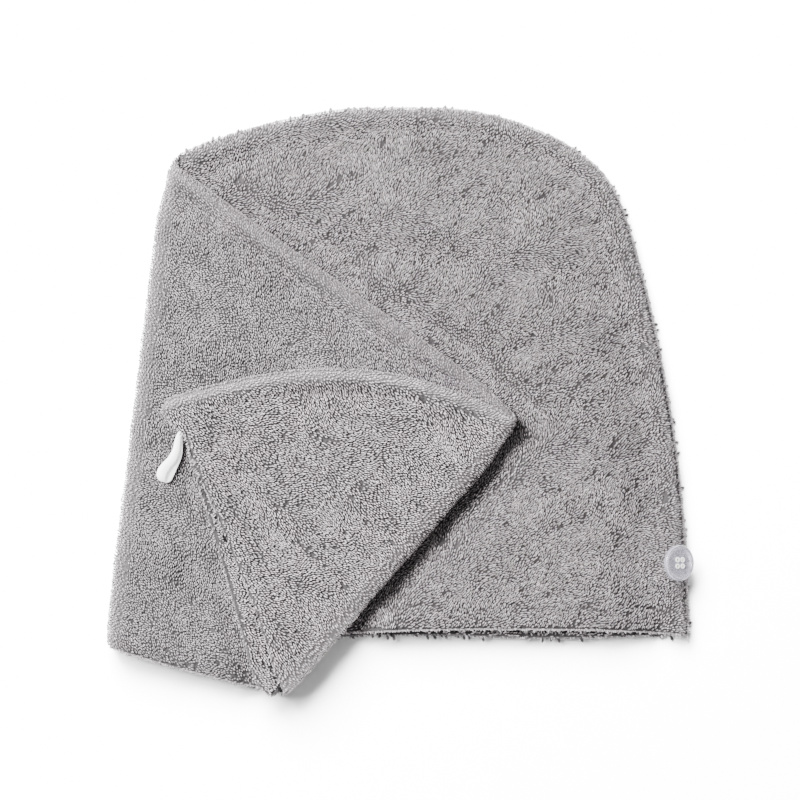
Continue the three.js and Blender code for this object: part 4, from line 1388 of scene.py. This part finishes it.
def make_thread():
    """Rings of thread wound about the mouths of the holes, and the stitches under the button."""
    over = BUTTON_THICK / 2 - BUTTON_DISH + RING_LIFT
    under = -BUTTON_THICK / 2 - FIT_GAP - THREAD_PAD / 2
    parts = []
    for x, y in HOLES:
        parts.append(ring_tube((x, y, over), RING_RADIUS, STRAND))
    half = HOLE_PITCH / 2
    for y in (-half, half):
        post = np.array([(half, y, under), (half, y, 0), (half, y, over - STRAND)])
        parts.append(tube(through(post, 4), STRAND))
        bar = np.array([(-half, y, under), (0, y, under), (half, y, under)])
        parts.append(tube(through(bar, 4), THREAD_PAD / 2))
    return seated(joined("stitches_of_thread", parts))


LOOP_STEPS = 10
# Round the tape's section, as shares of its width and thickness
TAPE_SECTION = [
    (-0.5, -0.2), (-0.46, -0.5), (0.46, -0.5), (0.5, -0.2),
    (0.5, 0.2), (0.46, 0.5), (-0.46, 0.5), (-0.5, 0.2),
]


def make_loop():
    """Satin tape out of the tail end, over, and back in under itself."""
    root = loop_root[0]
    edges, down, over = LOOP_EDGES[:, :4], LOOP_EDGES[:, 4], LOOP_EDGES[:, 5]
    one, other = edges[:, :2] + root, edges[:, 2:] + root
    middle = (one + other) / 2
    far = np.full(len(middle), float(TAIL_LOFT_TO))
    flap = height("flap", "back", True, 0, middle, far, far) + LOOP_GAP
    tail = 4 * (PLY + NEST) + PLY + LOOP_GAP
    high = tail + (flap - tail) * down + over + TAPE_THICK / 2
    path = through(np.column_stack([one, other, high]), LOOP_STEPS)
    one, other = (np.column_stack([-path[:, k], path[:, k + 1], path[:, 4]]) for k in (0, 2))
    middle = (one + other) / 2
    along = np.gradient(middle, axis=0)
    thick = np.cross(other - one, along)
    thick *= TAPE_THICK / np.linalg.norm(thick, axis=1, keepdims=True)
    spots = [
        middle[i] + (other[i] - one[i]) * a + thick[i] * b
        for i in range(len(path))
        for a, b in TAPE_SECTION
    ]
    sides = len(TAPE_SECTION)
    faces = []
    for i in range(len(path) - 1):
        for k in range(sides):
            a, b = i * sides, (k + 1) % sides
            faces.append((a + k, a + sides + k, a + sides + b, a + b))
    last = (len(path) - 1) * sides
    faces.append(tuple(range(sides)))
    faces.append(tuple(last + k for k in reversed(range(sides))))
    return new_piece("satin_loop", to_part(np.array(spots)), faces)


clear_button = clothe(make_button(), clear_plastic())
thread = clothe(make_thread(), sewing_thread())
loop = clothe(make_loop(), satin_tape())


# Camera, light and floor

PIXELS_PER_MM = 2.05
PHOTO_SIDE = 800
HEM_IN_PHOTO = (688, 640)  # pixel of the nape corner
SENSOR = 36
CAMERA_HEIGHT = 4.0
CLOTH_LEVEL = 0.012  # height at which the photograph's scale holds
VIEW_DEPTH = 50
WINDOW = ((-1.5, 0.95, 1.95), 1.4, 500)  # place, side and power
SWEEP = ((-0.64, 1.58, 1.54), 1.4, 1250)
WORLD_STRENGTH = 0.5
FLOOR_HALF = 4
corner_off = [-(HEM_IN_PHOTO[0] - PHOTO_SIDE / 2), HEM_IN_PHOTO[1] - PHOTO_SIDE / 2]
photo_middle = (np.array(corner_off) / PIXELS_PER_MM + shift) * MM
camera_data = bpy.data.cameras.new("camera")
camera_data.sensor_width = SENSOR
camera_data.lens = SENSOR * (CAMERA_HEIGHT - CLOTH_LEVEL) / (PHOTO_SIDE / PIXELS_PER_MM * MM)
camera_data.clip_end = VIEW_DEPTH
camera = bpy.data.objects.new("camera", camera_data)
camera.location = (*photo_middle, CAMERA_HEIGHT)
bpy.context.scene.collection.objects.link(camera)
bpy.context.scene.camera = camera


def soft_light(name, location, side, watts):
    data = bpy.data.lights.new(name, "AREA")
    data.shape = "SQUARE"
    data.size = side
    data.energy = watts
    light = bpy.data.objects.new(name, data)
    light.location = location
    light.rotation_euler = (-Vector(location)).to_track_quat("-Z", "Y").to_euler()
    bpy.context.scene.collection.objects.link(light)
    return light


soft_light("window", *WINDOW)
world = bpy.data.worlds.new("studio")
world.use_nodes = True
background = world.node_tree.nodes["Background"]
background.inputs["Color"].default_value = (1, 1, 1, 1)
background.inputs["Strength"].default_value = WORLD_STRENGTH
bpy.context.scene.world = world

floor_corners = [(x * FLOOR_HALF, y * FLOOR_HALF, 0) for x, y in ((-1, -1), (1, -1), (1, 1), (-1, 1))]
floor = new_piece("floor", floor_corners, [(0, 1, 2, 3)], False)
clothe(floor, pale_floor())
# The white sweep under the towel has a lamp of its own, as in a studio
floor_only = bpy.data.collections.new("floor_only")
floor_only.objects.link(floor)
sweep_lamp = soft_light("sweep_lamp", *SWEEP)
sweep_lamp.light_linking.receiver_collection = floor_only

for panel in ("back", "front"):
    for piece in (panels[panel], *pile_pieces[panel]):
        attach(piece, "root")
    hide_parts(f"{panel}_panel")
for piece, node, slot in (
    (clear_button, "button", "clear_plastic"),
    (thread, "button_thread", "thread"),
    (loop, "tail_loop", "satin_tape"),
):
    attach(piece, "root")
    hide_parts(node)
